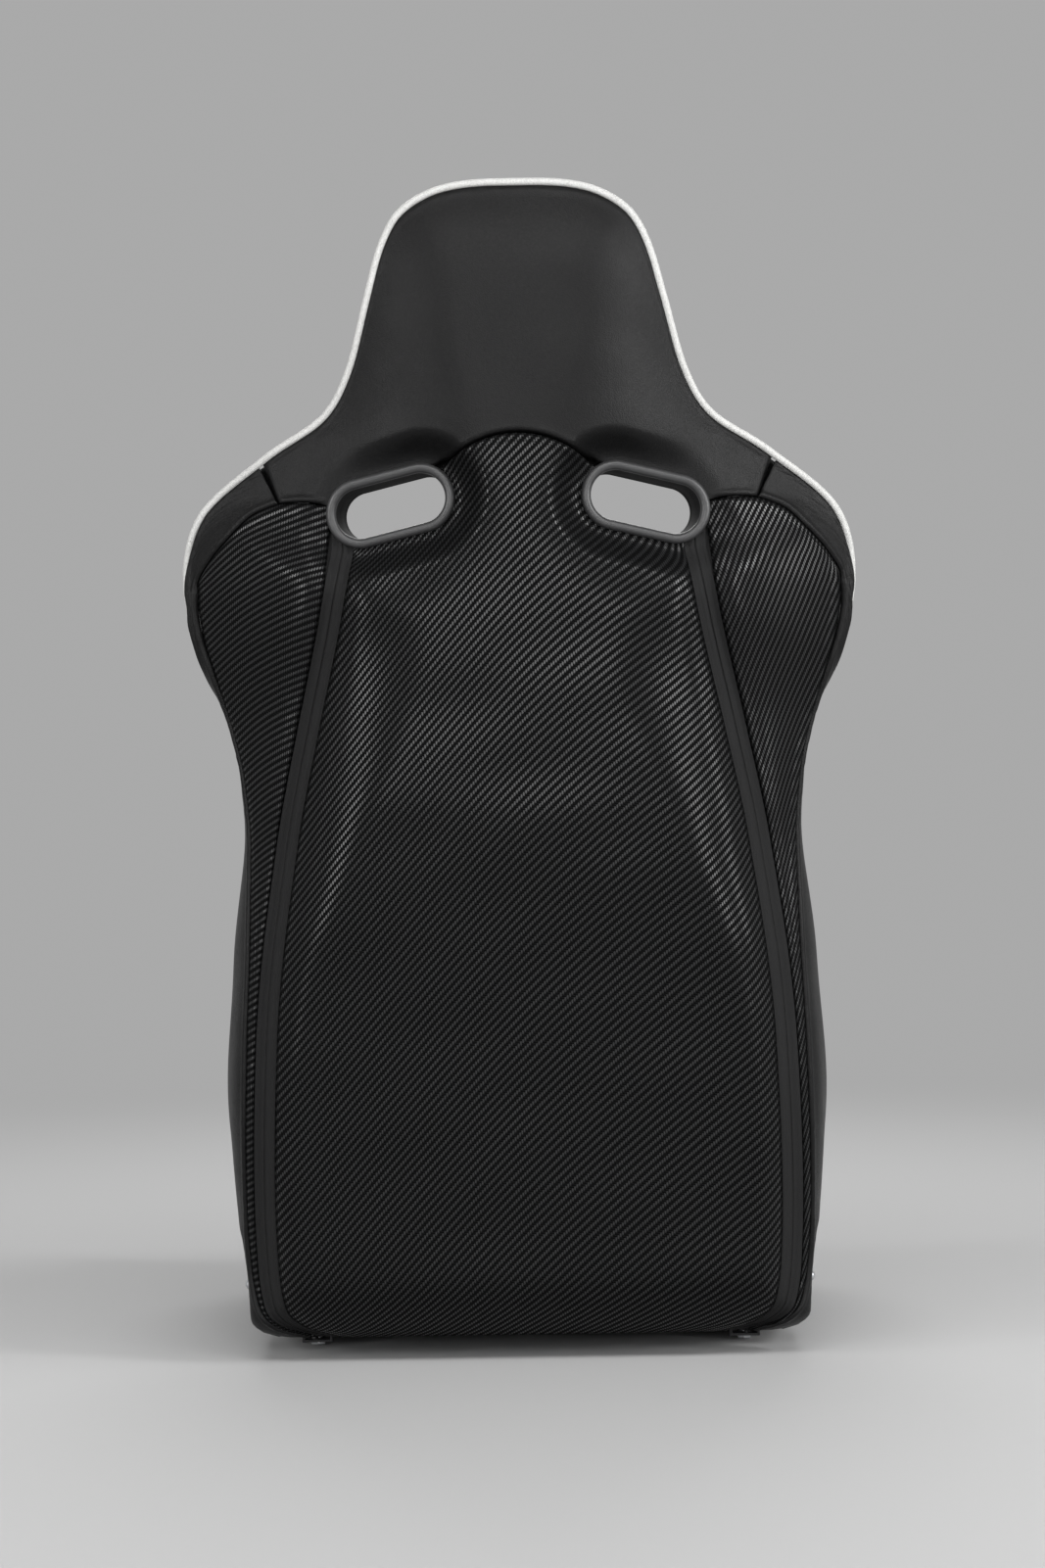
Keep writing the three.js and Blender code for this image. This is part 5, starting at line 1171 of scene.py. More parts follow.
    def side_panel(self, side: Side) -> bpy.types.Object:
        """Woven strip between a zip and the side gusset, up round the slot's outer end."""
        f = self.form
        u = np.linspace(0, 1, 44)
        tops = np.array(self.side_top, float)
        top_line = smooth_line(tops, 8)
        key = (top_line[:, 0] - tops[0, 0]) / (tops[-1, 0] - tops[0, 0])
        top_x, top_z = np.interp(u, key, top_line[:, 0]), np.interp(u, key, top_line[:, 1])
        xs = np.array([(1 - u) * (float(f.zip_x(z)) + self.panel_edge) + u * float(f.side_seam(z))
                       for z in self.level])
        xs, zs = self.topped(xs, top_x, top_z, 26)
        wide = np.maximum(1.0, xs[:, -1:] - xs[:, :1])
        inside = np.minimum(u[None, :] * wide, (1 - u)[None, :] * wide)
        rows = np.arange(len(xs))[:, None]
        row_height, far = 2.4, 99.0
        inside = np.minimum(inside, np.where(rows >= self.straight_rows, (len(xs) - 1 - rows) * row_height, far))
        grid = self.sewn(xs, zs, inside, zs, 23 + side.value, bead=1.2)
        turn = self.right_turn if side is Side.RIGHT else self.left_turn
        return self.sided("rear_side_cover", side, grid, f.skin, self.slot_keep(grid), turn, self.plan(xs, zs))

    @staticmethod
    def sided(name: str, side: Side, grid: np.ndarray, thickness: float, keep: np.ndarray | None = None,
              turn: float = 0.0, plan: np.ndarray | None = None) -> bpy.types.Object:
        """A shell on the right half, or its grid mirrored to the left half."""
        if side is Side.LEFT:
            grid, plan = (None if g is None else g[:, ::-1] * FLIP for g in (grid, plan))
            keep = None if keep is None else keep[:, ::-1]
        return shell(f"{name}_{side.suffix}", grid, thickness, keep, turn, plan)

    def shoulder_seam(self) -> np.ndarray:
        """Seam between the side panel and what lies above it."""
        line = [*self.side_top, (float(self.form.side_seam(self.row_top)), self.row_top)]
        return moved_aside(np.array(line, float), self.form.seam_gap)

    def covered(self, z: np.ndarray) -> np.ndarray:
        """Share of the piping that the gusset hides from behind."""
        return 1.0 - smoothstep(z, 618, 672)

    def tuck(self, z: np.ndarray) -> np.ndarray:
        """How far the piping is drawn in from the outline."""
        return self.form.piping_tuck * (1.0 - smoothstep(z, 470, 575))

    def cover_inset(self) -> float:
        """Distance of the cover's sewn edge from the outline, tucked against the piping."""
        return 2 * self.form.piping_radius - 0.9

    def yoke(self) -> bpy.types.Object:
        """Plain cover over head and shoulders; the place of the embossed word stays bare."""
        f = self.form
        x = np.linspace(0, f.arch_half, 20)[1:]
        lower = [(0.0, f.arch_z + f.seam_gap), *zip(x, self.arch(x) + f.seam_gap)]
        seam = self.shoulder_seam()
        lower += [tuple(p) for p in smooth_line(np.vstack([lower[-1], seam[0]]), 12)[1:]]
        lower += [tuple(p) for p in smooth_line(seam[:3], 8)[1:]]
        lower = np.array(lower)
        count, last = 110, 73
        upper = f.outline_in(self.cover_inset(), f.top, self.seam_top + f.seam_gap, count)
        low = along(lower, np.linspace(0, 1, count + 1) ** 1.1)
        s = np.linspace(0, 1, last + 1)[:, None]
        xs = low[None, :, 0] + (upper[None, :, 0] - low[None, :, 0]) * s
        zs = low[None, :, 1] + (upper[None, :, 1] - low[None, :, 1]) * s
        xs = np.hstack([-xs[:, :0:-1], xs])
        zs = np.hstack([zs[:, :0:-1], zs])
        rows, cols = np.arange(len(xs))[:, None], np.arange(xs.shape[1])[None, :]
        high = np.hypot(xs[-1] - xs[0], zs[-1] - zs[0])[None, :]
        inside = np.minimum(rows * high / last, (last - rows) * high / last)
        col_width = 2.5
        inside = np.minimum(inside, np.minimum(cols, xs.shape[1] - 1 - cols) * col_width)
        middle, radius = 780, 130
        grid = self.sewn(xs, zs, inside, np.arctan2(xs, zs - middle) * radius, 31, bead=0.9, pucker=0.26)
        return shell("rear_yoke_cover", grid, f.skin, self.slot_keep(grid))

    def gusset(self, side: Side) -> bpy.types.Object:
        """Plain side cover from the shoulder seam down round the side to the piping."""
        f = self.form
        beside = f.piping_radius + 7 * f.fit_gap
        seam = self.shoulder_seam()[2:]
        start = np.array([seam[0][0] + f.seam_gap,
                          lerp(seam[0][1], seam[1][1], f.seam_gap / (seam[1][0] - seam[0][0]))])
        upper_in = smooth_line(np.vstack([start, seam[1:]]), 12)
        edge = f.outline_in(self.cover_inset(), self.seam_top, self.row_top, len(upper_in) - 1)
        low_y = Profile([(f.bottom, -49), (84, -46), (self.recliner_z, float(f.piping_y(self.recliner_z)) - 8)])
        down = np.linspace(self.row_top, f.bottom + 1, 170)
        half_turn = math.pi / 2
        piping_x = f.half_width(down) - f.piping_radius - self.tuck(down)
        front_x = piping_x - beside * np.cos(f.wrap(down) * half_turn)
        front_y = np.where(down < self.recliner_z, low_y(down),
                           f.piping_y(down) - beside * np.sin(f.wrap(down) * half_turn))
        inside_line = np.vstack([upper_in[:-1], np.stack([f.side_seam(down) + f.seam_gap, down], 1)])
        outside_line = np.vstack([edge[:-1], np.stack([front_x, down], 1)])
        wrap = f.wrap(outside_line[:, 1])[:, None]
        end_y = np.concatenate([np.zeros(len(edge) - 1), front_y])[:, None]
        s = np.linspace(0, 1, 56)[None, :]
        x_in, z_in = inside_line[:, :1], inside_line[:, 1:]
        x_out, z_out = outside_line[:, :1], outside_line[:, 1:]
        xs, zs = x_in + (x_out - x_in) * s, z_in + (z_out - z_in) * s
        rear_in = f.rear(x_in, z_in)
        half = f.half_width(zs[:, :1])
        full_depth = 60.0
        bulge = np.clip((end_y - rear_in) / full_depth, 0.0, 1.0)
        bend_x = bezier((x_in, x_in + (half + 3 - x_in) * bulge, x_out + (half + 4 - x_out) * bulge, x_out), s)
        bend_y = bezier((rear_in, *(rear_in + (end_y - rear_in) * share for share in (0.15, 0.6)), end_y), s)
        flat_y = f.rear(xs, zs)
        x = xs + (bend_x - xs) * wrap
        y = flat_y + (bend_y - flat_y) * wrap
        short = np.maximum(0.0, f.half_width(z_out) + 0.2 - x.max(axis=1, keepdims=True))
        curl = np.sin(np.pi * np.clip(s / 1.45, 0, 1)) ** 1.4
        x = x + self.covered(zs) * short * (curl + (s**2 - curl) * smoothstep(zs, 590, 640))
        grid = np.stack([x, y, zs], axis=-1)[::-1]
        run = run_lengths(grid, 1)
        inside = np.minimum(run, run[:, -1:] - run)
        n = grid_normals(grid)
        tall = run_lengths(grid, 0)
        lift = edge_bead(inside, 0.9) - dress_edge(inside) + puckers(tall, inside, 41 + side.value, 0.3)
        lift = lift + ripple(run, tall, SIDE_WAVES) * np.minimum(1, inside / 30)
        return self.sided("side_gusset_cover", side, grid + n * lift[..., None], f.skin)

    def zip_band(self, side: Side) -> bpy.types.Object:
        """Closed zip under its cover tape: two smooth halves that meet in a fine line."""
        f = self.form
        half = [0.02, 0.05, 0.09, 0.14, 0.2, 0.26, 0.34, 0.42, 0.5, 0.6, 0.75, 0.9, 0.985, 1, 1.04, 1.06, 1.34]
        u = np.array([*(-share for share in half[::-1]), 0.0, *half])
        z0 = np.linspace(f.bottom + 1, self.zip_top, 330)
        xs = f.zip_x(z0)[:, None] + u[None, :] * f.zip_width / 2
        zs = np.repeat(z0[:, None], len(u), axis=1)
        d = np.abs(u)[None, :] * f.zip_width / 2
        ridge_half, line_half = 4.6, 0.55
        ridge = 1.7 * np.sqrt(np.clip(1 - (np.clip(d, 0, ridge_half) / ridge_half) ** 2, 0, 1))
        ridge = ridge - 1.2 * np.exp(-(d / line_half) ** 2)
        wavy = 0.12 * np.sin(zs / 5.1 + 1.3 * np.sin(zs / 41.0))
        stitch = 0.25 * np.exp(-(((d - 7.0) / 0.6) ** 2)) * (np.sin(zs * 2 * math.pi / 3.2))
        under = (f.skin + 0.3 - (f.skin - self.tape)) * smoothstep(np.abs(u)[None, :], 1.0, 1.05)
        y = f.rear(xs, zs) + (f.skin - self.tape) - ridge - wavy * (d < 5) - stitch + under
        grid = np.stack([xs, y, zs], axis=-1)
        return self.sided("zip_band", side, grid, self.tape * 0.8, self.slot_keep(grid))

    def build(self) -> None:
        """Makes, dresses and places every panel."""
        pieces = [(self.centre_panel(), "twill_vinyl", "rear_centre_panel"), (self.yoke(), "leatherette", "rear_yoke")]
        for side in Side:
            pieces.append((self.side_panel(side), "twill_vinyl", f"rear_side_panel_{side.suffix}"))
            pieces.append((self.gusset(side), "leatherette", f"side_gusset_{side.suffix}"))
            pieces.append((self.zip_band(side), "zip", f"zip_tape_{side.suffix}"))
        for obj, finish, node in pieces:
            self.finishes.declare(obj, finish, Body.BACK, node)
        self.piping()

    def piping(self) -> None:
        """White corded edge from hip to hip over the head."""
        f = self.form
        low = []
        for z in np.linspace(self.recliner_z, self.row_top, 60):
            beside = float(f.rear(f.half_width(z) - 2 * f.piping_radius, z)) + f.skin / 2
            deep = self.under_gusset * float(self.covered(z)) * (1.0 - float(f.wrap(z)))
            x = float(f.half_width(z)) - f.piping_radius - float(self.tuck(z))
            low.append((x, lerp(beside, float(f.piping_y(z)), float(f.wrap(z))) + deep, z))
        line = f.outline_in(f.piping_radius, f.top, self.row_top + 12, 110)
        inner = f.outline_in(2 * f.piping_radius, f.top, self.row_top + 12, 110)
        high = [(x, float(f.rear(xi, zi)) + f.skin / 2 + self.under_gusset * float(self.covered(z)), z)
                for (x, z), (xi, zi) in zip(line, inner)]
        right = np.array(low + high[::-1])
        left = right[:-1][::-1] * FLIP
        route = smooth_line(np.vstack([right, left]), 3)
        cord = tube("cover_piping_cord", route, f.piping_radius, 16)
        self.finishes.declare(cord, "piping", Body.BACK, "cover_piping")


# ------------------------------------------------------------------ harness bezels


@dataclass
class HarnessBezels:
    """Stadium-shaped bezels in two halves that line the harness slots."""

    form: BackForm
    finishes: FinishBook
    wall: float = 2.0
    rise: float = 4.0
    depth: float = 46.0
    seat: float = 0.35
    split: float = 40.0

    def section(self, angle: float, grow: float, depth: float) -> Vector:
        """Point of a stadium section.

        Args:
            angle: direction from the slot's axis, radians.
            grow: distance outside the clear opening, mm.
            depth: distance ahead of the rear cover, mm.

        Returns:
            The point about the slot's own axis, in metres.
        """
        length, height = self.form.slot_size
        c, s = math.cos(angle), math.sin(angle)
        shift = (length - height) / 2 * max(-1.0, min(1.0, c * 40))
        reach = height / 2 + grow
        return Vector((reach * c + shift, depth, reach * s)) * MM

    def ring(self, name: str, stations: Sequence[tuple[float, float]]) -> bpy.types.Object:
        """Ring extruded from section to section and bridged back onto itself.

        Args:
            name: object name.
            stations: (growth, depth) of each section, mm.

        Returns:
            The ring about the slot's own axis, at the origin.
        """
        bpy.ops.object.select_all(action="DESELECT")
        bpy.ops.mesh.primitive_circle_add(vertices=96, radius=1.0, fill_type="NOTHING")
        obj = bpy.context.object
        obj.name = obj.data.name = name
        bpy.ops.object.mode_set(mode="EDIT")
        bm = bmesh.from_edit_mesh(obj.data)
        turn = bm.verts.layers.float.new("turn")
        for v in bm.verts:
            v[turn] = math.atan2(v.co.y, v.co.x)
            v.co = self.section(v[turn], *stations[0])
        bmesh.update_edit_mesh(obj.data)
        for grow, depth in stations[1:]:
            bpy.ops.mesh.extrude_edges_move()
            bm = bmesh.from_edit_mesh(obj.data)
            turn = bm.verts.layers.float["turn"]
            for v in bm.verts:
                if v.select:
                    v.co = self.section(v[turn], grow, depth)
            bmesh.update_edit_mesh(obj.data)
        bpy.ops.mesh.select_all(action="DESELECT")
        bm = bmesh.from_edit_mesh(obj.data)
        for edge in bm.edges:
            if edge.is_boundary:
                edge.select_set(True)
        bmesh.update_edit_mesh(obj.data)
        bpy.ops.mesh.bridge_edge_loops()
        bpy.ops.mesh.select_all(action="SELECT")
        bpy.ops.mesh.normals_make_consistent(inside=False)
        bpy.ops.object.mode_set(mode="OBJECT")
        return obj

    def lip(self, from_depth: float, toward: float) -> list[tuple[float, float]]:
        """Rounded flange section from its outer edge to the clear opening."""
        lip, rise = self.form.bezel_lip, self.rise
        shape = [(lip - 0.3, 0.0), (lip, 0.12), (lip, 0.28), (lip - 0.35, 0.5), (lip - 1.1, 0.74), (lip - 2.3, 0.93),
                 (lip - 3.6, 1.0), (lip - 4.9, 0.97), (lip - 6.1, 0.84), (lip - 7.1, 0.62), (lip - 7.75, 0.34),
                 (0.0, 0.0)]
        return [(grow, from_depth + toward * rise * high) for grow, high in shape]

    def matt_tunnel(self, obj: bpy.types.Object, side: Side) -> None:
        """Gives the wall of the passage a darker, matt copy of the plastic as painted shade, up to the rounded lips.
        """
        obj.data.materials.append(self.finishes.materials["tunnel"])
        back = self.form.slot_matrix(side).inverted()
        for face in obj.data.polygons:
            depth = (back @ face.center).y / MM
            if 0.3 < depth < self.depth - 0.3:
                face.material_index = 1

    def build(self) -> None:
        """Makes both halves of both bezels."""
        rear = [*self.lip(-self.seat, -1.0), (0.0, 4.0), (0.0, 20.0), (0.0, self.split - 0.6), (0.4, self.split - 0.1),
                (self.wall - 0.4, self.split - 0.1), (self.wall, self.split - 0.6), (self.wall, 0.6)]
        start = self.split + self.seat
        front = [*self.lip(self.depth + self.seat, 1.0), (0.0, self.depth - 3), (0.0, start + 0.5),
                 (0.4, start + 0.1), (self.wall - 0.4, start + 0.1), (self.wall, start + 0.6),
                 (self.wall, self.depth - 0.4)]
        for half, stations in (("rear", rear), ("front", front)):
            model = self.ring(f"bezel_{half}", stations)
            only(model)
            bpy.ops.object.shade_smooth_by_angle(angle=math.radians(40))
            for side in Side:
                obj = placed(f"bezel_{half}_{side.suffix}", model.data.copy())
                if side is Side.LEFT:
                    obj.data.transform(MIRROR)
                obj.data.transform(self.form.slot_matrix(side))
                face_outward(obj)
                self.finishes.declare(obj, "plastic", Body.BACK, f"harness_bezel_{half}_{side.suffix}")
                self.matt_tunnel(obj, side)
            bpy.data.objects.remove(model)


# ------------------------------------------------------------------ pads


def node_copy(node: str, name: str) -> bpy.types.Object:
    """A merged copy of a CAD node's mesh in a new object."""
    obj = placed(name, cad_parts[node].data.copy())
    bm = bmesh.new()
    bm.from_mesh(obj.data)
    bmesh.ops.remove_doubles(bm, verts=bm.verts, dist=2e-5)
    bm.to_mesh(obj.data)
    bm.free()
    obj.data.materials.clear()
    return obj


class Draped:
    """Finds places on a pad by casting rays at its face."""

    steep = 0.35

    def __init__(self, pad: bpy.types.Object, up: int, run: int) -> None:
        """Keeps the pad's faces and its axes.

        Args:
            pad: the finished pad.
            up: axis that its face looks along, 1 for the back and 2 for the seat.
            run: axis along its length, 2 for the back and 1 for the seat.
        """
        bm = bmesh.new()
        bm.from_mesh(pad.data)
        self.tree, self.up, self.run = BVHTree.FromBMesh(bm), up, run
        bm.free()
        corners = np.array(pad.bound_box)
        self.low, self.high = corners.min(axis=0), corners.max(axis=0)

    def hit(self, x: float, run: float) -> tuple[Vector, Vector] | None:
        """Place and normal of the face at a place across and along the pad."""
        start, aim = Vector((x, 0.0, 0.0)), Vector((0.0, 0.0, 0.0))
        start[self.run], start[self.up], aim[self.up] = run, self.high[self.up] + 0.05, -1.0
        place, normal, _, _ = self.tree.ray_cast(start, aim)
        return None if place is None else (place, normal)

    def crest(self, first: float, last: float, step: float = 0.006) -> np.ndarray:
        """Line of the highest places across the pad, from one share of its length to another."""
        runs = np.arange(lerp(self.low[self.run], self.high[self.run], first),
                         lerp(self.low[self.run], self.high[self.run], last), step)
        xs = np.linspace(self.low[0] + 0.006, self.high[0] - 0.006, 36)
        best = []
        for run in runs:
            found = [(h[0][self.up], x) for x in xs if (h := self.hit(x, run)) is not None]
            best.append(max(found)[1] if found else np.nan)
        best = np.array(best)
        best = np.interp(runs, runs[~np.isnan(best)], best[~np.isnan(best)])
        return np.stack([eased(best, 7), runs], axis=1)

    def valleys(self, drop: float = 0.0012) -> list[float]:
        """Places along the pad's middle where a sewn channel dips."""
        runs = np.arange(self.low[self.run] + 0.02, self.high[self.run] - 0.02, 0.0015)
        heights = np.array([h[0][self.up] if (h := self.hit(0.0, r)) is not None else -9.0 for r in runs])
        reach = 9
        return [float(runs[i]) for i in range(reach, len(runs) - reach)
                if heights[i] > -8 and heights[i] == heights[i - reach:i + reach + 1].min()
                and heights[i] < heights[i - reach] - drop and heights[i] < heights[i + reach] - drop]

    def across(self, run: float, margin: float = 0.007) -> np.ndarray:
        """Line across the pad at a place along it, as far as its face reaches on each side."""
        wide = 0.0
        for x in np.arange(0.0, self.high[0], 0.004):
            h = self.hit(x, run)
            if h is None or h[1][self.up] < self.steep:
                break
            wide = x
        xs = np.linspace(-(wide - margin), wide - margin, 50)
        return np.stack([xs, np.full_like(xs, run)], axis=1)

    def laid(self, line: np.ndarray, spacing: float = 0.001) -> tuple[np.ndarray, np.ndarray]:
        """Evenly spaced places and normals on the pad under a line given across and along it."""
        length = float(np.linalg.norm(np.diff(line, axis=0), axis=1).sum())
        shares = np.linspace(0, 1, max(8, int(length / spacing)))
        found = [h for x, r in along(line, shares) if (h := self.hit(float(x), float(r))) is not None]
        places, normals = (np.apply_along_axis(eased, 0, np.array([h[k][:] for h in found]), 6) for k in (0, 1))
        return places, unit(normals)


@dataclass
class Stitching:
    """Seams of the pads: a groove drawn into the foam and rows of thread beside it."""

    finishes: FinishBook
    pitch: float = 0.0050
    length: float = 0.0036
    thread: float = 0.00042
    proud: float = 0.35
    places: dict[Body, list[tuple[np.ndarray, np.ndarray]]] = field(default_factory=dict)

    def groove(self, pad: bpy.types.Object, seams: Sequence[np.ndarray], depth: float, width: float = 0.0028) -> None:
        """Draws the pad in along its seams.

        Args:
            pad: the pad.
            seams: places along each seam.
            depth: depth of the groove.
            width: half width of the groove.
        """
        places = np.concatenate(seams)
        tree = tree_of(places)
        low, high = places.min(axis=0) - 3 * width, places.max(axis=0) + 3 * width
        rest = coordinates(pad.data)
        normals = np.array([v.normal[:] for v in pad.data.vertices])
        near = np.nonzero(((rest > low) & (rest < high)).all(axis=1))[0]
        away = np.array([tree.find(rest[i])[2] for i in near])
        rest[near] -= normals[near] * (depth * np.exp(-((away / width) ** 2)))[:, None]
        pad.data.vertices.foreach_set("co", rest.ravel())
        pad.data.update()

    def sew(self, pad: bpy.types.Object, face: Draped, lines: Sequence[np.ndarray], body: Body,
            rows: Sequence[float], twin: bool = False, depth: float = 0.0016) -> None:
        """Sews the seams of one pad.

        Args:
            pad: the pad.
            face: the pad's face before its seams are drawn in.
            lines: the seams, each given across and along the pad.
            body: the body that the pad rides on.
            rows: distance of each row of stitches from its seam.
            twin: True where the same seams also lie on the pad's mirror image.
            depth: depth of the groove.
        """
        self.groove(pad, [face.laid(line)[0] for line in lines], depth)
        drawn = Draped(pad, face.up, face.run)
        mark = self.places.setdefault(body, [])
        for places, normals in (drawn.laid(line, 0.002) for line in lines):
            aside = unit(np.cross(normals, np.gradient(places, axis=0)))
            for row in rows:
                spots = np.array([drawn.tree.find_nearest(p)[0][:] for p in (places + aside * row)])
                mark.append((spots, normals))
                if twin:
                    mark.append((spots * FLIP, normals * FLIP))

    def stitch(self) -> tuple[np.ndarray, np.ndarray]:
        """One stitch along z: a small stretched ball, as vertices and triangles."""
        bpy.ops.object.select_all(action="DESELECT")
        bpy.ops.mesh.primitive_uv_sphere_add(segments=6, ring_count=5, radius=self.thread)
        ball = bpy.context.object
        bpy.ops.object.mode_set(mode="EDIT")
        bpy.ops.mesh.select_all(action="SELECT")
        bpy.ops.transform.resize(value=(1.0, 1.0, self.length / 2 / self.thread))
        bpy.ops.mesh.quads_convert_to_tris()
        bpy.ops.object.mode_set(mode="OBJECT")
        shape = coordinates(ball.data)
        faces = np.array([p.vertices[:] for p in ball.data.polygons])
        bpy.data.objects.remove(ball)
        return shape, faces

    def build(self) -> None:
        """Makes the stitches of each body as one piece."""
        shape, faces = self.stitch()
        for body, marks in self.places.items():
            verts, tris = [], []
            for spots, lifts in marks:
                run = run_of(spots)
                at = np.arange(self.pitch, run[-1] - self.pitch, self.pitch)
                middle, lift, after, before = (
                    np.stack([np.interp(where, run, table[:, k]) for k in range(3)], axis=1)
                    for table, where in ((spots, at), (lifts, at), (spots, at + 0.001), (spots, at - 0.001)))
                ahead = unit(after - before)
                side = unit(np.cross(lift, ahead))
                lift = np.cross(ahead, side)
                for m, s, l, a in zip(middle, side, lift, ahead):
                    tris.append(faces + len(verts) * len(shape))
                    verts.append(m + l * self.thread * self.proud + shape @ np.stack([s, l, a]))
            mesh = bpy.data.meshes.new(f"{body.value}_stitches")
            mesh.from_pydata(np.concatenate(verts).tolist(), [], np.concatenate(tris).tolist())
            obj = placed_smooth(mesh.name, mesh)
            face_outward(obj)
            self.finishes.give(obj, "thread")
            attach(obj, body.value)
            log.info("%s: %d stitches", obj.name, len(verts))


@dataclass
class Pads:
    """Cushions of back and seat: foam under sewn leatherette, each blown up as cloth."""

    finishes: FinishBook
    voxel: float = 0.0045
    cap: float = 0.006
    frames: int = 20
    pressure: float = 4.0
    soft_passes: int = 6
    fold: tuple[float, float] = (-0.109, 0.122)
    fold_room: tuple[float, float] = (0.02, 0.09)
    axis_z: float = 0.055
    lever_reach: tuple[float, float] = (0.19, 0.25)
    lever_side: tuple[float, float] = (0.17, 0.20)

    def off_base(self, obj: bpy.types.Object, base: Vector) -> np.ndarray:
        """Distance of each vertex from the face that the pad is mounted on.

        Args:
            obj: the pad.
            base: the direction in which that face looks.

        Returns:
            Distances in metres.
        """
        verts, facing = obj.data.vertices, 0.55
        tree = tree_of(v.co for v in verts if v.normal.dot(base) > facing)
        return np.array([tree.find(v.co)[2] for v in verts])

    def held(self, obj: bpy.types.Object, away: np.ndarray) -> np.ndarray:
        """Pin weight of each vertex.

        It is 1 at the mounting face, where back and seat come close at the forward limit, and beside the levers.

        Args:
            obj: the pad.
            away: distance of each vertex from the mounting face, metres.

        Returns:
            Weights from 0 to 1.
        """
        x, y, z = coordinates(obj.data).T
        free = smoothstep(away, 0.004, 0.014)
        free = free * smoothstep(np.hypot(y - self.fold[0], z - self.fold[1]), *self.fold_room)
        reach = np.hypot(y - AXIS_Y * MM, z - self.axis_z)
        return 1.0 - free * np.maximum(smoothstep(reach, *self.lever_reach),
                                       1.0 - smoothstep(np.abs(x), *self.lever_side))

    def inflate(self, obj: bpy.types.Object, weights: np.ndarray) -> None:
        """Swells a pad as a cloth, with some of its vertices pinned and every move capped.

        Args:
            obj: the pad, a closed mesh.
            weights: pin weight of each vertex, 1 where it stays.
        """
        scene = bpy.context.scene
        rest = coordinates(obj.data)
        weigh(obj, "pin", weights)
        cloth = obj.modifiers.new("Cloth", "CLOTH")
        s = cloth.settings
        s.quality = 4
        s.mass = 0.3
        s.tension_stiffness = s.compression_stiffness = s.shear_stiffness = 15
        s.bending_stiffness = 0.4
        s.use_pressure = True
        s.uniform_pressure_force = self.pressure
        s.vertex_group_mass = "pin"
        s.effector_weights.gravity = 0.0
        cloth.point_cache.frame_start, cloth.point_cache.frame_end = 1, self.frames
        for f in range(1, self.frames + 1):
            scene.frame_set(f)
        solved = obj.evaluated_get(bpy.context.evaluated_depsgraph_get())
        step = coordinates(solved.data) - rest
        obj.modifiers.remove(cloth)
        length = np.linalg.norm(step, axis=1, keepdims=True)
        step *= np.minimum(1.0, self.cap / np.maximum(1e-9, length))
        step *= (1.0 - weights)[:, None]
        obj.data.vertices.foreach_set("co", (rest + step).ravel())
        obj.vertex_groups.clear()
        scene.frame_set(1)

    def pad(self, node: str, name: str, base: Vector) -> bpy.types.Object:
        """A cushion from its CAD node: remeshed, softened away from its base, blown up and subdivided.

        Args:
            node: the CAD node that it stands for.
            name: object name.
            base: the direction in which its mounting face looks.

        Returns:
            The finished pad.
        """
        obj = node_copy(node, name)
        remesh = obj.modifiers.new("Remesh", "REMESH")
        remesh.mode = "VOXEL"
        remesh.voxel_size = self.voxel
        apply_modifiers(obj)
        away = self.off_base(obj, base)
        weigh(obj, "soft", np.maximum(smoothstep(away, 0.003, 0.016), 0.06))
        soften = obj.modifiers.new("Smooth", "SMOOTH")
        soften.factor, soften.iterations, soften.vertex_group = 0.5, self.soft_passes, "soft"
        apply_modifiers(obj)
        self.inflate(obj, self.held(obj, away))
        obj.vertex_groups.clear()
        soften = obj.modifiers.new("Smooth", "SMOOTH")
        soften.factor, soften.iterations = 0.5, 1
        finer = obj.modifiers.new("Subdivision", "SUBSURF")
        finer.levels = finer.render_levels = 1
        apply_modifiers(obj)
        obj.data.polygons.foreach_set("use_smooth", [True] * len(obj.data.polygons))
        return obj

    def finish(self, obj: bpy.types.Object, node: str, body: Body) -> None:
        """Dresses and declares a pad."""
        self.finishes.declare(obj, "leatherette", body, node)

    def build(self) -> None:
        """Makes every pad; the left bolsters are copies of the right ones."""
        rearward, down = Vector((0, -1, 0)), Vector((0, 0, -1))
        twin_rows = (-0.0032, 0.0032)
        chest = self.pad("chest_cushion", "chest_pad", rearward)
        head = self.pad("head_cushion", "head_pad", rearward)
        seat = self.pad("seat_cushion", "seat_pad", down)
        thread = Stitching(self.finishes)
        for pad, up, run, body in ((chest, 1, 2, Body.BACK), (seat, 2, 1, Body.BASE)):
            face = Draped(pad, up, run)
            thread.sew(pad, face, [face.across(at) for at in face.valleys()], body, (0.0,), depth=0.0008)
        arch = BACK.outline_in(27.0, BACK.top, BACK.neck[1] + 6, 60)
        arch = np.vstack([arch[::-1] * (-1, 1), arch[1:]]) * MM
        thread.sew(head, Draped(head, 1, 2), [arch], Body.BACK, twin_rows)
        self.finish(chest, "chest_cushion", Body.BACK)
        self.finish(head, "head_cushion", Body.BACK)
        self.finish(seat, "seat_cushion", Body.BASE)
        for node, name, body, base in (("back_bolster", "back_bolster_pad", Body.BACK, rearward),
                                       ("thigh_bolster", "thigh_bolster_pad", Body.BASE, down)):
            right = self.pad(f"{node}_right", f"{name}_right", base)
            face = Draped(right, *((1, 2) if body is Body.BACK else (2, 1)))
            thread.sew(right, face, [face.crest(0.06, 0.93)], body, twin_rows, twin=True)
            left = mirrored_copy(right, f"{name}_left")
            self.finish(right, f"{node}_right", body)
            self.finish(left, f"{node}_left", body)
        thread.build()


# ------------------------------------------------------------------ metal parts


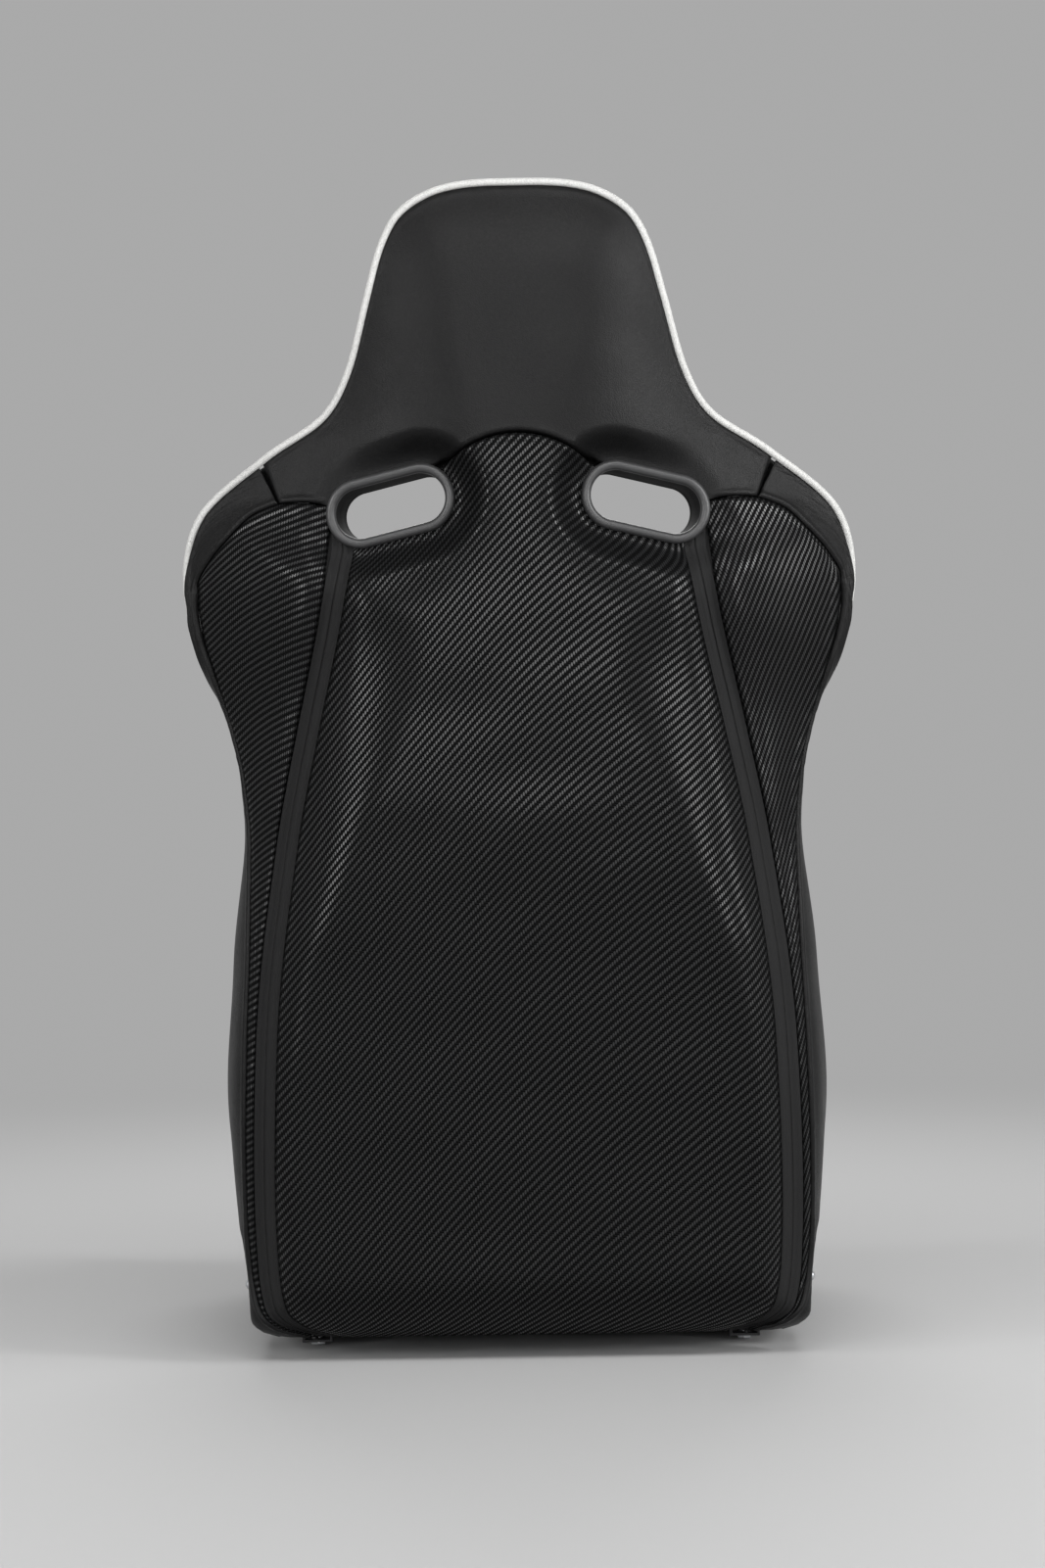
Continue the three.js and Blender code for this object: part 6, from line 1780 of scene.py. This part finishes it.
@dataclass
class Hardware:
    """Frame, recliner, levers, springs and bolts."""

    finishes: FinishBook
    dome_from: float = 0.2322
    dome_rise: float = 0.75
    smooth_angle: float = math.radians(35.0)
    flat_angle: float = math.radians(1.0)

    def crowned(self, obj: bpy.types.Object) -> None:
        """Draws a lever screw's head out to a full dome."""
        for v in obj.data.vertices:
            over = max(0.0, abs(v.co.x) - self.dome_from)
            v.co.x += math.copysign(over * self.dome_rise, v.co.x)

    def refined(self, node: str, finish: str, body: Body, width: float) -> None:
        """A copy of a CAD node with small rounded edges, smooth by angle."""
        obj = node_copy(node, f"{node}_fine")
        if node.startswith("lever_screw"):
            self.crowned(obj)
        only(obj)
        bpy.ops.object.mode_set(mode="EDIT")
        bpy.ops.mesh.select_all(action="SELECT")
        bpy.ops.mesh.dissolve_limited(angle_limit=self.flat_angle)
        bpy.ops.object.mode_set(mode="OBJECT")
        bevel = obj.modifiers.new("Bevel", "BEVEL")
        bevel.width, bevel.segments, bevel.limit_method = width, 3, "ANGLE"
        bevel.angle_limit = self.smooth_angle
        bevel.use_clamp_overlap = True
        apply_modifiers(obj)
        bpy.ops.object.shade_smooth_by_angle(angle=self.smooth_angle)
        self.finishes.declare(obj, finish, body, node)

    def build(self) -> None:
        """Refines what shows and dresses the rest."""
        for side in Side:
            for end in ("rear", "front"):
                self.refined(f"mount_bolt_{end}_{side.suffix}", "zinc_steel", Body.BASE, 0.0005)
            self.refined(f"lever_screw_{side.suffix}", "zinc_steel", Body.RELEASE, 0.0004)
            self.refined(f"release_lever_{side.suffix}", "frame_paint", Body.RELEASE, 0.0008)
        starts = {"frame_paint": ("base_frame", "back_frame", "recliner_arm", "recliner_bracket"),
                  "zinc_steel": ("recliner_moving_disc", "recliner_fixed_disc", "release_shaft", "clock_spring",
                                 "seat_spring"),
                  "webbing": ("back_strap",)}
        for name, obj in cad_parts.items():
            for finish, names in starts.items():
                if name.startswith(names):
                    self.finishes.give(obj, finish)


# ------------------------------------------------------------------ studio


@dataclass
class Studio:
    """Pale floor and backdrop, soft lamps and the camera of the photograph."""

    camera_at: tuple[float, float, float] = (0.0, -3.4245, 0.466)
    lens: float = 90.3
    roll: float = 0.9
    floor_grey: float = 0.5
    backdrop: float = 0.40
    ambient: float = 0.12
    fade: tuple[float, float] = (1.0, 2.8)
    floor_size: float = 60.0
    floor_z: float = -0.0005

    def seen(self, n: Nodes) -> bpy.types.NodeSocket:
        """1 for rays that show the backdrop: from the camera, off gloss and through glass."""
        path = n.add("ShaderNodeLightPath").outputs
        return n.math("MAXIMUM", n.math("MAXIMUM", path["Is Camera Ray"], path["Is Glossy Ray"]),
                      path["Is Transmission Ray"])

    def seamless(self) -> bpy.types.Material:
        """Matt pale floor that runs into the plain backdrop away from the seat."""
        material = bpy.data.materials.new("studio_grey")
        material.use_nodes = True
        n = Nodes(material.node_tree)
        material.node_tree.nodes.clear()
        shader, out = n.add("ShaderNodeBsdfPrincipled"), n.add("ShaderNodeOutputMaterial")
        n.put(shader.inputs["Base Color"], (self.floor_grey,) * 3)
        shader.inputs["Roughness"].default_value = 0.9
        glow, joint = n.add("ShaderNodeEmission"), n.add("ShaderNodeMixShader")
        n.put(glow.inputs["Color"], (self.backdrop,) * 3)
        away = n.add("ShaderNodeVectorMath", operation="LENGTH")
        n.put(away.inputs[0], n.here())
        share = n.add("ShaderNodeMapRange", interpolation_type="SMOOTHSTEP")
        for socket, value in zip(share.inputs, (away.outputs["Value"], *self.fade, 0.0, 1.0)):
            n.put(socket, value)
        shown = n.math("MULTIPLY", share.outputs[0], self.seen(n))
        for socket, value in zip(joint.inputs, (shown, shader.outputs[0], glow.outputs[0])):
            n.put(socket, value)
        n.put(out.inputs[0], joint.outputs[0])
        return material

    def build(self) -> None:
        """Builds the stage."""
        scene = bpy.context.scene
        bpy.ops.object.select_all(action="DESELECT")
        bpy.ops.mesh.primitive_plane_add(size=self.floor_size)
        floor = bpy.context.object
        floor.name = "studio_floor"
        floor.data.transform(Matrix.Translation((0, 0, self.floor_z)))
        floor.data.materials.append(self.seamless())
        self.surroundings(scene)
        self.lamps()
        camera = placed("camera", bpy.data.cameras.new("camera"))
        camera.data.lens = self.lens
        camera.data.sensor_width = 36.0
        camera.data.sensor_fit = "AUTO"
        camera.location = self.camera_at
        camera.rotation_euler = (math.radians(90), math.radians(self.roll), 0)
        scene.camera = camera
        scene.view_settings.view_transform = "Standard"

    def surroundings(self, scene: bpy.types.Scene) -> None:
        """Plain pale world."""
        world = bpy.data.worlds.new("studio_world")
        scene.world = world
        world.use_nodes = True
        n = Nodes(world.node_tree)
        background = world.node_tree.nodes["Background"]
        background.inputs[1].default_value = 1.0
        n.put(background.inputs[0], n.mix(self.seen(n), (self.ambient,) * 3, (self.backdrop,) * 3))

    def lamps(self) -> None:
        """Every lamp; the strips and flanks stand where the zips and panels mirror them to the camera."""
        self.lamp("overhead", (0.0, -2.3, 2.7), (0.0, -0.15, 0.7), (3.0, 0.9), 46.0)
        self.lamp("key", (0.0, -4.4, 1.25), (0.0, -0.15, 0.6), (1.9, 1.5), 50.0)
        for side, flank, high, beside in ((-1, 17.0, 0.7, 1.8), (1, 44.0, 1.1, 15.0)):
            name = "right" if side > 0 else "left"
            self.lamp(f"{name}_strip", (2.5 * side, -2.5, 0.78), (0.0, -0.1, 0.6), (0.8, 0.95), 26.0)
            self.lamp(f"{name}_flank", (2.45 * side, -1.75, 1.4 + high / 2), (0.0, -0.1, 0.8), (0.6, high), flank)
            self.lamp(f"{name}_beside", (2.9 * side, -0.75, 0.95), (0.0, -0.1, 0.62), (0.6, 0.8), beside)
        self.lamp("front_fill", (0.0, 2.8, 2.4), (0.0, 0.2, 0.4), (2.4, 1.4), 60.0)

    @staticmethod
    def lamp(name: str, at: Sequence[float], to: Sequence[float], size: tuple[float, float], watts: float) -> None:
        """A soft rectangular lamp that looks at a point."""
        light = bpy.data.lights.new(name, "AREA")
        light.shape = "RECTANGLE"
        light.size, light.size_y = size
        light.energy = watts
        obj = placed(name, light)
        obj.location = at
        obj.rotation_euler = (Vector(to) - Vector(at)).to_track_quat("-Z", "Y").to_euler()
        obj.visible_camera = False


def main() -> None:
    """Builds the seat's sub-assemblies in order, then the studio."""
    logging.basicConfig(level=logging.INFO, format="%(name)s: %(message)s")
    Studio().build()
    finishes = FinishBook()
    RearCover(BACK, finishes).build()
    HarnessBezels(BACK, finishes).build()
    Pads(finishes).build()
    Hardware(finishes).build()


if __name__ == "__main__":
    main()
